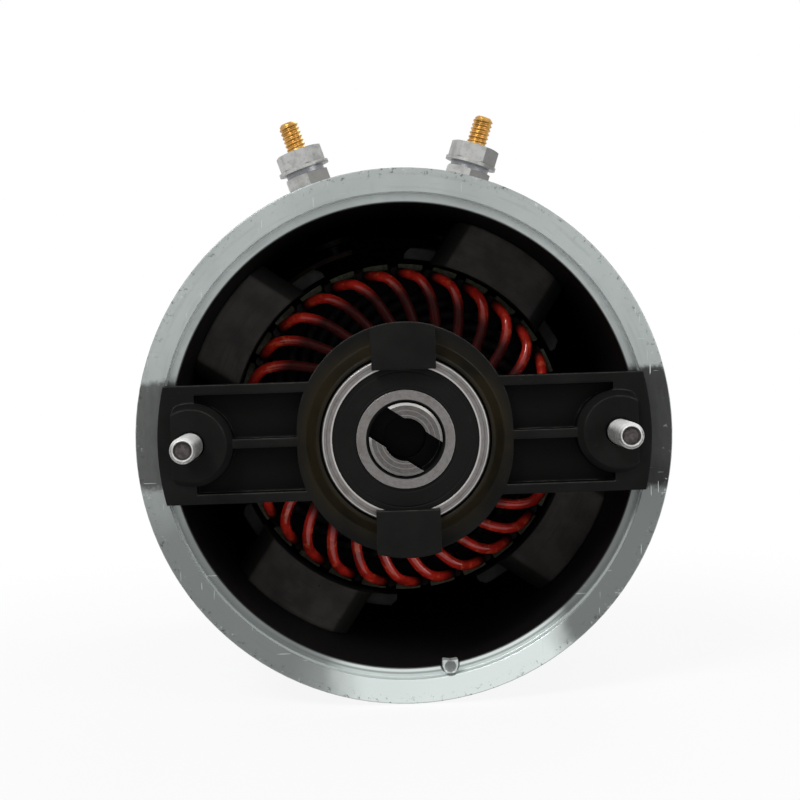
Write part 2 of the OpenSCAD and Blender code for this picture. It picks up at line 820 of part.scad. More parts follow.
function pitch_r(outer_d, inner_d) = (outer_d + inner_d) / 4;
function inner_land(p, ball) = p - 0.3 * ball;
function outer_land(p, ball) = p + 0.3 * ball;
seal_step = 0.8;
ring_chamfer = 0.8;
cage_gap = 0.35;

module bearing_inner(inner_d, outer_d, width, ball, front) {
  p = pitch_r(outer_d, inner_d);
  land = inner_land(p, ball);
  seat = land - seal_step;
  depth = seal_depth + seal_t + 0.1;
  translate([0, 0, front - width]) rotate_extrude() difference() {
    polygon([
      [inner_d / 2, ring_chamfer / 2], [inner_d / 2 + ring_chamfer / 2, 0], [seat, 0],
      [seat, depth], [land, depth], [land, width - depth], [seat, width - depth],
      [seat, width], [inner_d / 2 + ring_chamfer / 2, width],
      [inner_d / 2, width - ring_chamfer / 2]
    ]);
    translate([p, width / 2]) circle(r = ball / 2 + ball_play);
  }
}

module bearing_outer(inner_d, outer_d, width, ball, front) {
  p = pitch_r(outer_d, inner_d);
  land = outer_land(p, ball);
  seat = land + seal_step;
  depth = seal_depth + seal_t;
  translate([0, 0, front - width]) rotate_extrude() difference() {
    polygon([
      [outer_d / 2, ring_chamfer], [outer_d / 2, width - ring_chamfer],
      [outer_d / 2 - ring_chamfer, width], [seat, width], [seat, width - depth],
      [land, width - depth], [land, depth], [seat, depth], [seat, 0],
      [outer_d / 2 - ring_chamfer, 0]
    ]);
    translate([p, width / 2]) circle(r = ball / 2 + ball_play);
  }
}

module bearing_seals(inner_d, outer_d, width, ball, front) {
  p = pitch_r(outer_d, inner_d);
  seal_outer = outer_land(p, ball) + seal_step;
  seal_inner = inner_land(p, ball) - seal_step + seal_play;
  ring(seal_outer, seal_inner, front - seal_depth - seal_t, front - seal_depth);
  ring(seal_outer, seal_inner, front - width + seal_depth, front - width + seal_depth + seal_t);
}

module bearing_balls(inner_d, outer_d, width, ball, count, front) {
  p = pitch_r(outer_d, inner_d);
  for (n = [0 : count - 1]) rotate([0, 0, 360 * n / count])
    translate([p, 0, front - width / 2]) sphere(d = ball);
}

module bearing_cage(inner_d, outer_d, width, ball, count, front) {
  p = pitch_r(outer_d, inner_d);
  height = ball * 0.9;
  middle = front - width / 2;
  difference() {
    ring(
      outer_land(p, ball) - cage_gap, inner_land(p, ball) + cage_gap,
      middle - height / 2, middle + height / 2
    );
    for (n = [0 : count - 1]) rotate([0, 0, 360 * n / count])
      translate([p, 0, middle]) sphere(d = ball + 2 * ball_play);
  }
}

module front_bearing_outer_ring() {
  color("darkgray") in_frame()
    bearing_outer(shaft_d, front_bearing_d, front_bearing_w, front_ball_d, bearing_front);
}

module front_bearing_inner_ring() {
  color("darkgray") in_frame()
    bearing_inner(shaft_d, front_bearing_d, front_bearing_w, front_ball_d, bearing_front);
}

module front_bearing_seals() {
  color([0.1, 0.1, 0.1]) in_frame()
    bearing_seals(shaft_d, front_bearing_d, front_bearing_w, front_ball_d, bearing_front);
}

module front_bearing_balls() {
  color("gainsboro") in_frame() bearing_balls(
    shaft_d, front_bearing_d, front_bearing_w, front_ball_d, front_ball_count, bearing_front
  );
}

module front_bearing_cage() {
  color("tan") in_frame() bearing_cage(
    shaft_d, front_bearing_d, front_bearing_w, front_ball_d, front_ball_count, bearing_front
  );
}

module rear_bearing_outer_ring() {
  color("darkgray") in_frame()
    bearing_outer(journal_d, rear_bearing_d, rear_bearing_w, rear_ball_d, rear_bearing_front);
}

module rear_bearing_inner_ring() {
  color("darkgray") in_frame()
    bearing_inner(journal_d, rear_bearing_d, rear_bearing_w, rear_ball_d, rear_bearing_front);
}

module rear_bearing_seals() {
  color([0.1, 0.1, 0.1]) in_frame()
    bearing_seals(journal_d, rear_bearing_d, rear_bearing_w, rear_ball_d, rear_bearing_front);
}

module rear_bearing_balls() {
  color("gainsboro") in_frame() bearing_balls(
    journal_d, rear_bearing_d, rear_bearing_w, rear_ball_d, rear_ball_count, rear_bearing_front
  );
}

module rear_bearing_cage() {
  color("tan") in_frame() bearing_cage(
    journal_d, rear_bearing_d, rear_bearing_w, rear_ball_d, rear_ball_count, rear_bearing_front
  );
}

// A thin steel ring with three waves, between the rear bearing and its pocket's floor
module wave_washer() {
  outer = rear_bearing_r - 0.4;
  inner = rear_bearing_r - 3.4;
  steps = 48;
  floor_z = cover_end + cover_floor;
  points = [
    for (i = [0 : steps - 1], corner = [[outer, 0], [inner, 0], [inner, 1], [outer, 1]])
      let (a = 360 * i / steps, lift = wave_lift * (1 - cos(3 * a)) / 2)
      polar([a, corner[0], floor_z + lift + corner[1] * wave_t])
  ];
  faces = [
    for (i = [0 : steps - 1], c = [0 : 3], half = [0, 1])
      let (
        a = 4 * i + c,
        b = 4 * i + (c + 1) % 4,
        d = 4 * ((i + 1) % steps) + c,
        e = 4 * ((i + 1) % steps) + (c + 1) % 4
      )
      half == 0 ? [a, b, e] : [a, e, d]
  ];
  color("slategray") in_frame() polyhedron(points = points, faces = faces);
}

// Brush gear

module brush_plate() {
  color([0.45, 0.3, 0.18]) in_frame() difference() {
    ring(plate_r, plate_hole_r, plate_rear, plate_front);
    for (k = [0 : 3]) rotate([0, 0, post_angle + 90 * k]) translate([post_r, 0, 0])
      disc(plate_screw_d / 2 + 0.2, plate_rear - cut, plate_front + cut);
  }
}

module brush_plate_screws() {
  color("silver") in_frame() for (k = [0 : 3]) rotate([0, 0, post_angle + 90 * k])
    translate([post_r, 0, 0]) difference() {
      union() {
        disc(plate_screw_d / 2 - fit_play, plate_rear - plate_screw_depth, plate_front);
        disc(plate_screw_head_d / 2, plate_front, plate_front + plate_screw_head_h);
      }
      translate([-plate_screw_head_d, -plate_screw_slot_w / 2, plate_front + plate_screw_head_h / 2])
        cube([2 * plate_screw_head_d, plate_screw_slot_w, plate_screw_head_h]);
    }
}

// Brass boxes, open towards the commutator, with a slot for the brush lead in their front
module brush_boxes() {
  outer_w = box_inner_w + 2 * box_wall;
  outer_l = box_inner_l + 2 * box_wall;
  color("darkgoldenrod") in_frame() for (k = [0 : 3]) rotate([0, 0, pole_angle + 90 * k])
    translate([0, 0, box_mid_z]) difference() {
      translate([box_foot, -outer_w / 2, -outer_l / 2])
        cube([box_end_r - box_foot, outer_w, outer_l]);
      translate([box_foot - cut, -box_inner_w / 2, -box_inner_l / 2])
        cube([box_end_r - box_wall - box_foot + cut, box_inner_w, box_inner_l]);
      translate([box_foot + 2, -lead_slot_w / 2, 0])
        cube([box_end_r - box_foot - 5, lead_slot_w, outer_l]);
    }
}

lead_slot_w = 3;
lead_d = 1.8;
// The lead ends just clear of its brush, because the brush slides
lead_gap = 0.3;

module brush(k) {
  color([0.2, 0.18, 0.17]) in_frame() rotate([0, 0, pole_angle + 90 * (k - 1)]) difference() {
    translate([brush_foot - 1, -brush_width / 2, box_mid_z - brush_length / 2])
      cube([brush_height + 1, brush_width, brush_length]);
    disc(brush_foot, box_mid_z - brush_length, box_mid_z + brush_length);
  }
}

module brush_spring(k) {
  angle = pole_angle + 90 * (k - 1);
  steps = 10 * spring_turns;
  coil_r = (spring_d - spring_wire) / 2;
  first = brush_end + spring_wire / 2;
  last = spring_head - spring_wire / 2;
  path = [
    for (i = [0 : steps])
      [mix(first, last, i / steps), coil_r * cos(36 * i), box_mid_z + coil_r * sin(36 * i)]
  ];
  color("slategray") in_frame() rotate([0, 0, angle])
    tubes([path], spring_wire / 2, 6, [[1, 0, 0]]);
}

// Braided leads from the brushes to screws on the plate
module brush_leads() {
  top = box_mid_z + brush_length / 2 + lead_gap;
  start_r = brush_end - 4;
  arch = 5;
  foot = plate_front + lead_d / 2;
  path = [
    [start_r, 0, top], [start_r + 0.5, 0, top + arch * 0.6], [start_r + 1.5, 2, top + arch],
    [start_r + 3, 5.5, top + arch * 0.8], [start_r + 4, 8, top - 1],
    [start_r + 4.3, 9, (top + foot) / 2], [start_r + 4.3, 9.4, foot + 2], [start_r + 4.3, 9.4, foot - lead_d / 2]
  ];
  color("orangered") in_frame() for (k = [0 : 3]) rotate([0, 0, pole_angle + 90 * k])
    tubes([path], lead_d / 2, 6, [[1, 0, 0]]);
}

// Copper bows behind the plate, each between two opposite brush boxes
module brush_links() {
  bow_t = 1;
  bow_gap = 0.5;
  quarter = 90;
  color("peru") in_frame() for (n = [0, 1]) rotate([0, 0, pole_angle + quarter * n])
    translate([0, 0, plate_rear - bow_t]) linear_extrude(bow_t) for (start = [0, quarter]) {
      inner_r = plate_hole_r + bow_gap + n * (bow_width + bow_gap);
      sector(inner_r + bow_width, inner_r, start, start + quarter);
    }
}

// Rotor

module shaft() {
  front_chamfer = 0.6;
  core_seat_end = riser_front - 1;
  journal_end = rear_bearing_rear - 0.5;
  color("silver") in_frame() difference() {
    union() {
      disc(shaft_d / 2, core_seat_end, shaft_front - front_chamfer);
      translate([0, 0, shaft_front - front_chamfer]) cylinder(
        r1 = shaft_d / 2, r2 = shaft_d / 2 - front_chamfer, h = front_chamfer
      );
      disc(commutator_seat_d / 2, rear_bearing_front, core_seat_end);
      disc(journal_d / 2, journal_end, rear_bearing_front);
    }
    rotate([0, 0, drive_slot_angle])
      translate([-shaft_d, -drive_slot_w / 2, shaft_front - drive_slot_depth])
        cube([2 * shaft_d, drive_slot_w, drive_slot_depth + cut]);
    disc(centre_bore_d / 2, shaft_front - centre_bore_depth, shaft_front + cut);
  }
}

module shaft_spacer() {
  color("gray") in_frame()
    ring(spacer_d / 2, shaft_d / 2 + fit_play, core_front + end_plate, bearing_rear);
}

// One slot, open at the rim, with its teeth lapping over it
module slot_outline(opening, width) {
  root_r = core_r - slot_depth + width / 2;
  translate([core_r - tooth_tip - cut, -opening / 2]) square([tooth_tip + 2 * cut, opening]);
  translate([root_r, -width / 2]) square([core_r - tooth_tip - root_r, width]);
  translate([root_r, 0]) circle(r = width / 2);
}

module core_outline(opening, width) {
  difference() {
    circle(r = core_r);
    circle(r = shaft_d / 2 + fit_play);
    for (n = [0 : slot_count - 1]) rotate([0, 0, n * slot_pitch + slot_turn])
      slot_outline(opening, width);
  }
}

// Angle of the first slot
slot_turn = 4;

module armature_core() {
  color([0.35, 0.36, 0.36]) in_frame() translate([0, 0, core_rear])
    linear_extrude(core_length) core_outline(slot_opening, slot_width);
}

module core_end_plates() {
  color([0.45, 0.5, 0.42]) in_frame() for (z = [core_front, core_rear - end_plate])
    translate([0, 0, z]) linear_extrude(end_plate)
      core_outline(slot_opening + 0.1, slot_width + 0.1);
}

// Each coil of the winding is one wire. It leaves a commutator bar, runs forward in the top
// of a slot, crosses the front inwards to the nose, returns outwards in the lower layer,
// and runs back in the bottom of the slot that lies a quarter turn further on.
top_wire_r = core_r - tooth_tip - wire_d / 2 - 0.05;
low_wire_r = core_r - slot_depth + wire_d / 2 + 0.2;
coil_pitch = round(slot_count / 4) * slot_pitch;
crown_top = core_front + end_plate + crown_rise - wire_d / 2;
low_layer = core_front + end_plate + wire_d / 2 + 1.6;
nose_turn = 28;
lower_turn = 38.8;

// Upper layer of the front end turns: angle, share of the way in to the nose, share of the rise
upper_crown = [
  [0, 0, 0], [1.4, 0, 0.3], [4.8, 0.01, 0.66], [9.6, 0.065, 0.9], [13.6, 0.2, 0.99],
  [17.2, 0.38, 1], [20.4, 0.57, 0.97], [23.8, 0.75, 0.92], [nose_turn, 0.93, 0.82]
];
function upper_front() = [
  for (p = upper_crown)
    [-p[0], mix(top_wire_r, crown_nose_r, p[1]), mix(core_front + end_plate, crown_top, p[2])]
];
// Lower layer: an involute from the nose out to the bottom of the slot
involute_r = 15.5;
function involute_angle(r) =
  sqrt(pow(r / involute_r, 2) - 1) * 180 / PI - acos(involute_r / r);
lower_scale = (coil_pitch - lower_turn)
  / (involute_angle(low_wire_r) - involute_angle(crown_nose_r));
function lower_front() = concat(
  [
    [-mix(nose_turn, lower_turn, 0.45), crown_nose_r, mix(crown_top, low_layer, 0.5)],
    [-lower_turn, crown_nose_r + 0.1, mix(crown_top, low_layer, 0.9)]
  ],
  [
    for (t = [0.25, 0.5, 0.75, 0.93])
      let (r = mix(crown_nose_r, low_wire_r, t))
      [
        -lower_turn - lower_scale * (involute_angle(r) - involute_angle(crown_nose_r)),
        r, low_layer
      ]
  ],
  [[-coil_pitch + 0.6, low_wire_r - 0.2, mix(low_layer, core_front, 0.4)]],
  [[-coil_pitch, low_wire_r, core_front]]
);
// Rear end turns, from a slot to a commutator riser. They end square on the riser.
lead_end = 1.5;
upper_lead_r = riser_r - wire_d / 2 - 0.4;
lower_lead_r = upper_lead_r - wire_d - 1.3;
lead_turn = coil_pitch / 2 - slot_pitch / 2;
function lead_z(t) = mix(core_rear - end_plate, riser_front + lead_end, pow(t, 0.9));
function rear_upper() = concat([[-lead_turn, upper_lead_r, riser_front]], [
  for (i = [6 : -1 : 0])
    let (t = i / 6)
    [-lead_turn * smooth(t), mix(top_wire_r, upper_lead_r, t), lead_z(t)]
]);
function rear_lower() = concat([
  for (i = [0 : 6])
    let (t = i / 6)
    [
      -coil_pitch + lead_turn * smooth(t), mix(low_wire_r, lower_lead_r, min(1, t * 1.2)),
      lead_z(t)
    ]
], [[-coil_pitch + lead_turn, lower_lead_r, riser_front]]);
function coil_path(n) = [
  for (p = concat(rear_upper(), upper_front(), lower_front(), rear_lower()))
    polar([p[0] + n * slot_pitch + slot_turn, p[1], p[2]])
];

module armature_winding() {
  paths = [for (n = [0 : slot_count - 1]) coil_path(n)];
  color("firebrick") in_frame()
    tubes(paths, wire_d / 2, 6, [for (n = [0 : slot_count - 1]) polar([n * slot_pitch, 1, 0])]);
}

// Resin-bonded band around the rear end turns
module winding_band() {
  foot = core_rear - end_plate - 1.2;
  outer = core_r - 0.6;
  color([0.6, 0.5, 0.3]) in_frame()
    ring(outer, top_wire_r + wire_d / 2 + 0.05, foot - 2.4, foot);
}

module commutator_bars() {
  color("chocolate") in_frame() difference() {
    union() {
      disc(track_r, commutator_rear, riser_front);
      disc(riser_r, riser_front - riser_length, riser_front);
    }
    disc(bar_root_r, commutator_rear - cut, riser_front + cut);
    for (n = [0 : slot_count - 1])
      rotate([0, 0, (n + 0.5) * slot_pitch + slot_turn + bar_turn])
        translate([0, -bar_gap / 2, commutator_rear - cut])
          cube([riser_r + cut, bar_gap, commutator_length + 2 * cut]);
  }
}

// Angle from a slot to the nearest bar, so that the leads end on the middle of the bars
bar_turn = -(coil_pitch - slot_pitch) / 2;

module commutator_hub() {
  color([0.3, 0.14, 0.08]) in_frame()
    ring(bar_root_r, commutator_seat_d / 2 + fit_play, commutator_rear - 1.5, riser_front - 1);
}

yoke_tube();
front_bracket();
rear_cover();
through_bolts();
through_bolt_washers();
pole_shoe(1);  // pole_shoe_1
pole_shoe(2);  // pole_shoe_2
pole_shoe(3);  // pole_shoe_3
pole_shoe(4);  // pole_shoe_4
field_coil(1);  // field_coil_1
field_coil(2);  // field_coil_2
field_coil(3);  // field_coil_3
field_coil(4);  // field_coil_4
pole_screws();
coil_links();
terminal_stud(1);  // terminal_stud_left
terminal_stud(-1);  // terminal_stud_right
terminal_insulators();
terminal_base_washers();
terminal_lower_nuts();
terminal_flat_washers();
terminal_spring_washers();
terminal_upper_nuts();
terminal_straps();
front_bearing_outer_ring();
front_bearing_inner_ring();
front_bearing_seals();
front_bearing_balls();
front_bearing_cage();
rear_bearing_outer_ring();
rear_bearing_inner_ring();
rear_bearing_seals();
rear_bearing_balls();
rear_bearing_cage();
wave_washer();
brush_plate();
brush_plate_screws();
brush_boxes();
brush_links();
brush(1);  // brush_1
brush(2);  // brush_2
brush(3);  // brush_3
brush(4);  // brush_4
brush_spring(1);  // brush_spring_1
brush_spring(2);  // brush_spring_2
brush_spring(3);  // brush_spring_3
brush_spring(4);  // brush_spring_4
brush_leads();
shaft();
armature_core();
core_end_plates();
armature_winding();
winding_band();
commutator_bars();
commutator_hub();
shaft_spacer();
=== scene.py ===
"""Looks of an open direct current motor: finishes for its parts, wound wire, threads and a plain stage.

The motor lies on its side. Its axis runs along Y, the drive end faces -Y and the terminals point up.
"""

import json
import math

import bmesh
import bpy
from bpy.props import FloatProperty, FloatVectorProperty, PointerProperty
from mathutils import Matrix, Vector


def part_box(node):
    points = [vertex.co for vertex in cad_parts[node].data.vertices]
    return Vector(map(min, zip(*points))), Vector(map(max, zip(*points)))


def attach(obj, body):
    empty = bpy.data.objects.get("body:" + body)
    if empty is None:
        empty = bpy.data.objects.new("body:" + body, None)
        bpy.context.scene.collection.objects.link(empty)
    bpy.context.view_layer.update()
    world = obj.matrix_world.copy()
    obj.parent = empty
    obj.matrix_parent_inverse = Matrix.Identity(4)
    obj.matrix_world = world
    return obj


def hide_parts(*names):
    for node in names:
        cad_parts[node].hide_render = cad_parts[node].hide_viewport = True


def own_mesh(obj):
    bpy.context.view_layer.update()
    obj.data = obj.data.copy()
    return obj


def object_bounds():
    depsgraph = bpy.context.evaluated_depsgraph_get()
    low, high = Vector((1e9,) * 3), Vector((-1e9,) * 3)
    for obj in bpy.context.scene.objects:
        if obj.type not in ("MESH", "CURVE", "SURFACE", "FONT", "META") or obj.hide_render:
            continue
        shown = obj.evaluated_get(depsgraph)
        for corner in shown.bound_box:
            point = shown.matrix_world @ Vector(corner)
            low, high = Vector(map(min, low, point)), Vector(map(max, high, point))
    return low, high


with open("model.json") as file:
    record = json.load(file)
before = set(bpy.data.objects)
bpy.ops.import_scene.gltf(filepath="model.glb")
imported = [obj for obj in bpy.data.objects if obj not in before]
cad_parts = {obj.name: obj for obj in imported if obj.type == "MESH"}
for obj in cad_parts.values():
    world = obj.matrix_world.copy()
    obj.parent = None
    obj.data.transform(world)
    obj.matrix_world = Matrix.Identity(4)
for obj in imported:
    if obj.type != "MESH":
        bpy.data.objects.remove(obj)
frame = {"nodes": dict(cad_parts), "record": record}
CAD_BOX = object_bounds()
NODES = frame["nodes"]

bl_info = {
    "name": "Direct current motor",
    "version": (1, 0, 0),
    "blender": (4, 5, 0),
    "location": "View3D > Sidebar > Motor",
    "description": "Dresses the parts of an open direct current motor",
    "category": "Object",
}

MM = 0.001


# Sizes and colours that a user would change


def amount(name, description, default, low, high, unit="NONE"):
    """A number that a user can set."""
    return FloatProperty(name=name, description=description, default=default, min=low, max=high, unit=unit)


def length(name, description, default, low, high):
    """A length that a user can set, given in millimetres."""
    return amount(name, description, default * MM, low * MM, high * MM, "LENGTH")


def paint_pot(name, description, default):
    """A colour that a user can set."""
    return FloatVectorProperty(
        name=name, description=description, default=default, subtype="COLOR", size=3, min=0, max=1,
    )


class MotorSizes(bpy.types.PropertyGroup):
    """Sizes of the wound wire, the threads and the rounded edges."""

    wire_diameter: length("Wire diameter", "Diameter of the enamelled wire", 2.7, 1.5, 2.8)
    bolt_pitch: length("Bolt thread pitch", "Pitch of the through bolts' thread", 1.0, 0.5, 2)
    stud_pitch: length("Terminal thread pitch", "Pitch of the terminal studs' thread", 1.25, 0.5, 2)
    edge_round: length("Edge rounding", "How far light rounds plated and coated edges", 0.4, 0.05, 2)


class MotorColours(bpy.types.PropertyGroup):
    """Base colours of the finishes."""

    zinc: paint_pot("Zinc plate", "Plated yoke", (0.4, 0.435, 0.425))
    black_coat: paint_pot("Black coat", "Bracket and rear cover", (0.0042, 0.0042, 0.004))
    enamel: paint_pot("Wire enamel", "Enamel of the armature winding", (0.72, 0.03, 0.018))
    bright_zinc: paint_pot("Bright zinc", "Nuts, washers, bolts and screws", (0.52, 0.52, 0.51))
    brass: paint_pot("Brass", "Terminal studs and brush boxes", (0.62, 0.34, 0.09))
    copper: paint_pot("Copper", "Straps, links and commutator", (0.66, 0.3, 0.16))
    steel: paint_pot("Ground steel", "Bearings and shaft", (0.2, 0.19, 0.185))
    tape: paint_pot("Coil tape", "Varnished tape of the field coils", (0.042, 0.0385, 0.036))


class MotorStage(bpy.types.PropertyGroup):
    """Camera and studio light."""

    camera_place: FloatVectorProperty(
        name="Camera place", description="Where the camera stands", size=3, subtype="TRANSLATION",
        unit="LENGTH", default=(-9.38 * MM, -406.7 * MM, 24.3 * MM),
    )
    camera_turn: FloatVectorProperty(
        name="Camera turn", description="How the camera is turned", size=3, subtype="EULER",
        unit="ROTATION", default=(math.radians(87.817), math.radians(1.855), math.radians(-1.27)),
    )
    lens: amount("Lens", "Focal length on a 36 mm wide sensor, in millimetres", 77.55, 20, 200, "CAMERA")
    key_power: amount("Main light", "Power of the light on the upper left, in watts", 8.0, 0, 200, "POWER")
    fill_power: amount("Fill lights", "Power of each other light, in watts", 3.5, 0, 200, "POWER")
    room_light: amount("Room light", "Strength of the even light from all sides", 0.38, 0, 2)


# Finishes: a number, colour or direction that runs through a material's nodes


class Flow:
    """An output socket whose sums and products add nodes to its finish."""

    def __init__(self, finish, socket):
        self.finish = finish
        self.socket = socket

    def __add__(self, other):
        return self.finish.maths("ADD", self, other)

    __radd__ = __add__

    def __sub__(self, other):
        return self.finish.maths("SUBTRACT", self, other)

    def __rsub__(self, other):
        return self.finish.maths("SUBTRACT", other, self)

    def __mul__(self, other):
        return self.finish.maths("MULTIPLY", self, other)

    __rmul__ = __mul__

    def __truediv__(self, other):
        return self.finish.maths("DIVIDE", self, other)

    def __pow__(self, other):
        return self.finish.maths("POWER", self, other)

    def __abs__(self):
        return self.finish.maths("ABSOLUTE", self)


class Nodes:
    """Adds nodes to the tree of a material or of the world."""

    def __init__(self, tree):
        self.tree = tree

    def node(self, kind, settings=None, sockets=None, out=0):
        """Adds a node, with its settings first and then its sockets, and returns one output."""
        made = self.tree.nodes.new(kind)
        for key, value in (settings or {}).items():
            setattr(made, key, value)
        for key, value in (sockets or {}).items():
            if isinstance(value, Flow):
                self.tree.links.new(value.socket, made.inputs[key])
            else:
                made.inputs[key].default_value = value
        return Flow(self, made.outputs[out])

    def link(self, flow, kind, socket):
        """Links a flow to an input of the tree's node of a kind, such as its output."""
        ends = [node for node in self.tree.nodes if node.bl_idname == kind]
        end = ends[0] if ends else self.tree.nodes.new(kind)
        self.tree.links.new(flow.socket, end.inputs[socket])

    def maths(self, operation, *values):
        return self.node("ShaderNodeMath", {"operation": operation}, dict(enumerate(values)))

    def vector(self, operation, *values, **named):
        sockets = {**dict(enumerate(values)), **named}
        out = "Value" if operation in ("DOT_PRODUCT", "DISTANCE") else "Vector"
        return self.node("ShaderNodeVectorMath", {"operation": operation}, sockets, out)

    def seen(self):
        """1 for rays of the camera, of gloss and through clear things, and 0 for all others."""
        kinds = ("Is Camera Ray", "Is Glossy Ray", "Is Transmission Ray")
        camera, gloss, clear = (self.node("ShaderNodeLightPath", out=kind) for kind in kinds)
        return self.maths("MAXIMUM", self.maths("MAXIMUM", camera, gloss), clear)


class Finish(Nodes):
    """One material. Everything is placed in millimetres of the motor's own frame."""

    def __init__(self, name, colour, **fixed):
        self.material = bpy.data.materials.new(name)
        self.material.use_nodes = True
        super().__init__(self.material.node_tree)
        self.shader = self.tree.nodes["Principled BSDF"]
        self.colour = colour
        self.feed_all(fixed)
        spot = self.node("ShaderNodeTexCoord", out="Object")
        self.place = self.vector("SCALE", spot, Scale=1000.0)
        self.x, self.depth, self.z = (
            self.node("ShaderNodeSeparateXYZ", sockets={0: self.place}, out=i) for i in range(3)
        )

    def blend(self, mask, first, second):
        """Mixes two colours: the first where the mask is 0, the second where it is 1."""
        sockets = {0: mask}
        for key, colour in ((6, first), (7, second)):
            sockets[key] = colour if isinstance(colour, Flow) else (*colour, 1)
        return self.node("ShaderNodeMix", {"data_type": "RGBA"}, sockets, 2)

    def paint(self, mask, over):
        """Lays a colour over those that are there, as far as the mask goes."""
        self.colour = self.blend(mask, self.colour, over)

    def step(self, value, low, high):
        """Rises softly from 0 at low to 1 at high."""
        return self.node(
            "ShaderNodeMapRange", {"interpolation_type": "SMOOTHSTEP"},
            {0: value, 1: low, 2: high},
        )

    def fall(self, value, low, high):
        """Falls softly from 1 at low to 0 at high."""
        return 1 - self.step(value, low, high)

    def band(self, value, low, high, soft):
        """1 between low and high, and 0 outside, with soft ends."""
        return self.step(value, low - soft, low + soft) * self.fall(value, high - soft, high + soft)

    def noise(self, size, at=None, detail=3.0, rough=0.5, stretch=(1, 1, 1)):
        """Cloudy noise from 0 to 1. Its lumps are about size millimetres across."""
        at = at or self.place
        if stretch != (1, 1, 1):
            at = self.vector("DIVIDE", at, stretch)
        return self.node(
            "ShaderNodeTexNoise", None,
            {"Vector": at, "Scale": 1 / size, "Detail": detail, "Roughness": rough}, "Fac",
        )

    def moved(self, *by):
        """The place moved by some millimetres, so that one noise differs from the next."""
        return self.vector("ADD", self.place, by)

    def reach(self, x, z, at=None):
        """Distance from a line along Y."""
        flat = self.vector("MULTIPLY", at or self.place, (1, 0, 1))
        return self.vector("DISTANCE", flat, (x, 0, z))

    def radius(self):
        """Distance from the motor's axis."""
        return (self.x * self.x + self.z * self.z) ** 0.5

    def angle(self):
        """Angle around the motor's axis in radians, counted from the right arm."""
        return self.maths("ARCTAN2", self.z, self.x)

    def patches(self, low, high, size, at=None, **form):
        """Soft-edged patches where the noise rises above low."""
        return self.step(self.noise(size, at, **form), low, high)

    def turned(self, pitch, around=18.0):
        """Fine rings that a lathe leaves: noise along the radius, drawn out around the axis."""
        at = self.node(
            "ShaderNodeCombineXYZ", None,
            {0: self.radius(), 1: self.angle() * around * pitch, 2: self.depth},
        )
        return self.noise(pitch, at, detail=2.0)

    def rounded(self, width):
        """The surface's direction with its edges rounded by width millimetres."""
        return self.node("ShaderNodeBevel", {"samples": 4}, {"Radius": width * MM})

    def facing(self, direction, surface=None):
        """How far the surface looks in a direction: 1 straight that way, 0 across, -1 away."""
        surface = surface or self.node("ShaderNodeNewGeometry", out="Normal")
        return self.vector("DOT_PRODUCT", surface, direction)

    def edges(self, width, low=0.02, high=0.25):
        """1 on the part's edges, within width millimetres, and 0 on its faces."""
        return self.step(1 - self.facing(self.rounded(width)), low, high)

    def bump(self, height, depth, under=None):
        """Turns a height from 0 to 1 into a surface direction. depth is in millimetres."""
        sockets = {"Height": height, "Strength": 1.0, "Distance": depth * MM}
        if under:
            sockets["Normal"] = under
        return self.node("ShaderNodeBump", None, sockets)

    def feed(self, socket, value):
        """Sets one input of the shader, or links it."""
        if isinstance(value, Flow):
            self.tree.links.new(value.socket, self.shader.inputs[socket])
        elif socket == "Base Color":
            self.shader.inputs[socket].default_value = (*value, 1)
        else:
            self.shader.inputs[socket].default_value = value

    def close(self, **fed):
        """Feeds the painted colour and the other inputs that are named, and gives the finish back."""
        self.feed("Base Color", self.colour)
        self.feed_all(fed)
        return self

    def feed_all(self, values):
        for key, value in values.items():
            self.feed(key.replace("_", " "), value)


def put_on(finish, *names):
    """Gives CAD parts a finish."""
    for name in names:
        data = NODES[name].data
        if not data.materials:
            data.materials.append(finish.material)
        for slot in range(len(data.materials)):
            data.materials[slot] = finish.material


def tint(colour, share):
    """A lighter or darker shade of a colour, as plain numbers."""
    return tuple(min(1.0, c * share) for c in colour)


# Mesh helpers. Points are in millimetres of the motor's own frame: x right, y back, z up.


SHARP_EDGE = math.radians(38)


def add_piece(name, solid, finish, body, slot, *replaced):
    """Makes one piece that rides on a body, in the place of CAD parts if it replaces any."""
    data = bpy.data.meshes.new(name)
    data.from_pydata([Vector(p) * MM for p in solid.points], [], solid.faces)
    data.validate()
    data.polygons.foreach_set("use_smooth", [True] * len(data.polygons))
    piece = bpy.data.objects.new(name, data)
    bpy.context.scene.collection.objects.link(piece)
    data.materials.append(finish.material)
    mesh = bmesh.new()
    mesh.from_mesh(data)
    bmesh.ops.recalc_face_normals(mesh, faces=mesh.faces)
    for edge in mesh.edges:
        if len(edge.link_faces) == 2 and edge.calc_face_angle(0) > SHARP_EDGE:
            edge.smooth = False
    mesh.to_mesh(data)
    mesh.free()
    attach(piece, body)
    if replaced:
        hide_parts(*replaced)
    return piece


def turned_point(place, radius, turn, height):
    """A point around the z axis of a placing matrix."""
    return place @ Vector((radius * math.cos(turn), radius * math.sin(turn), height))


def circle(place, radius, height, sides):
    """A row of points around the z axis of a placing matrix."""
    return [turned_point(place, radius, 2 * math.pi * k / sides, height) for k in range(sides)]


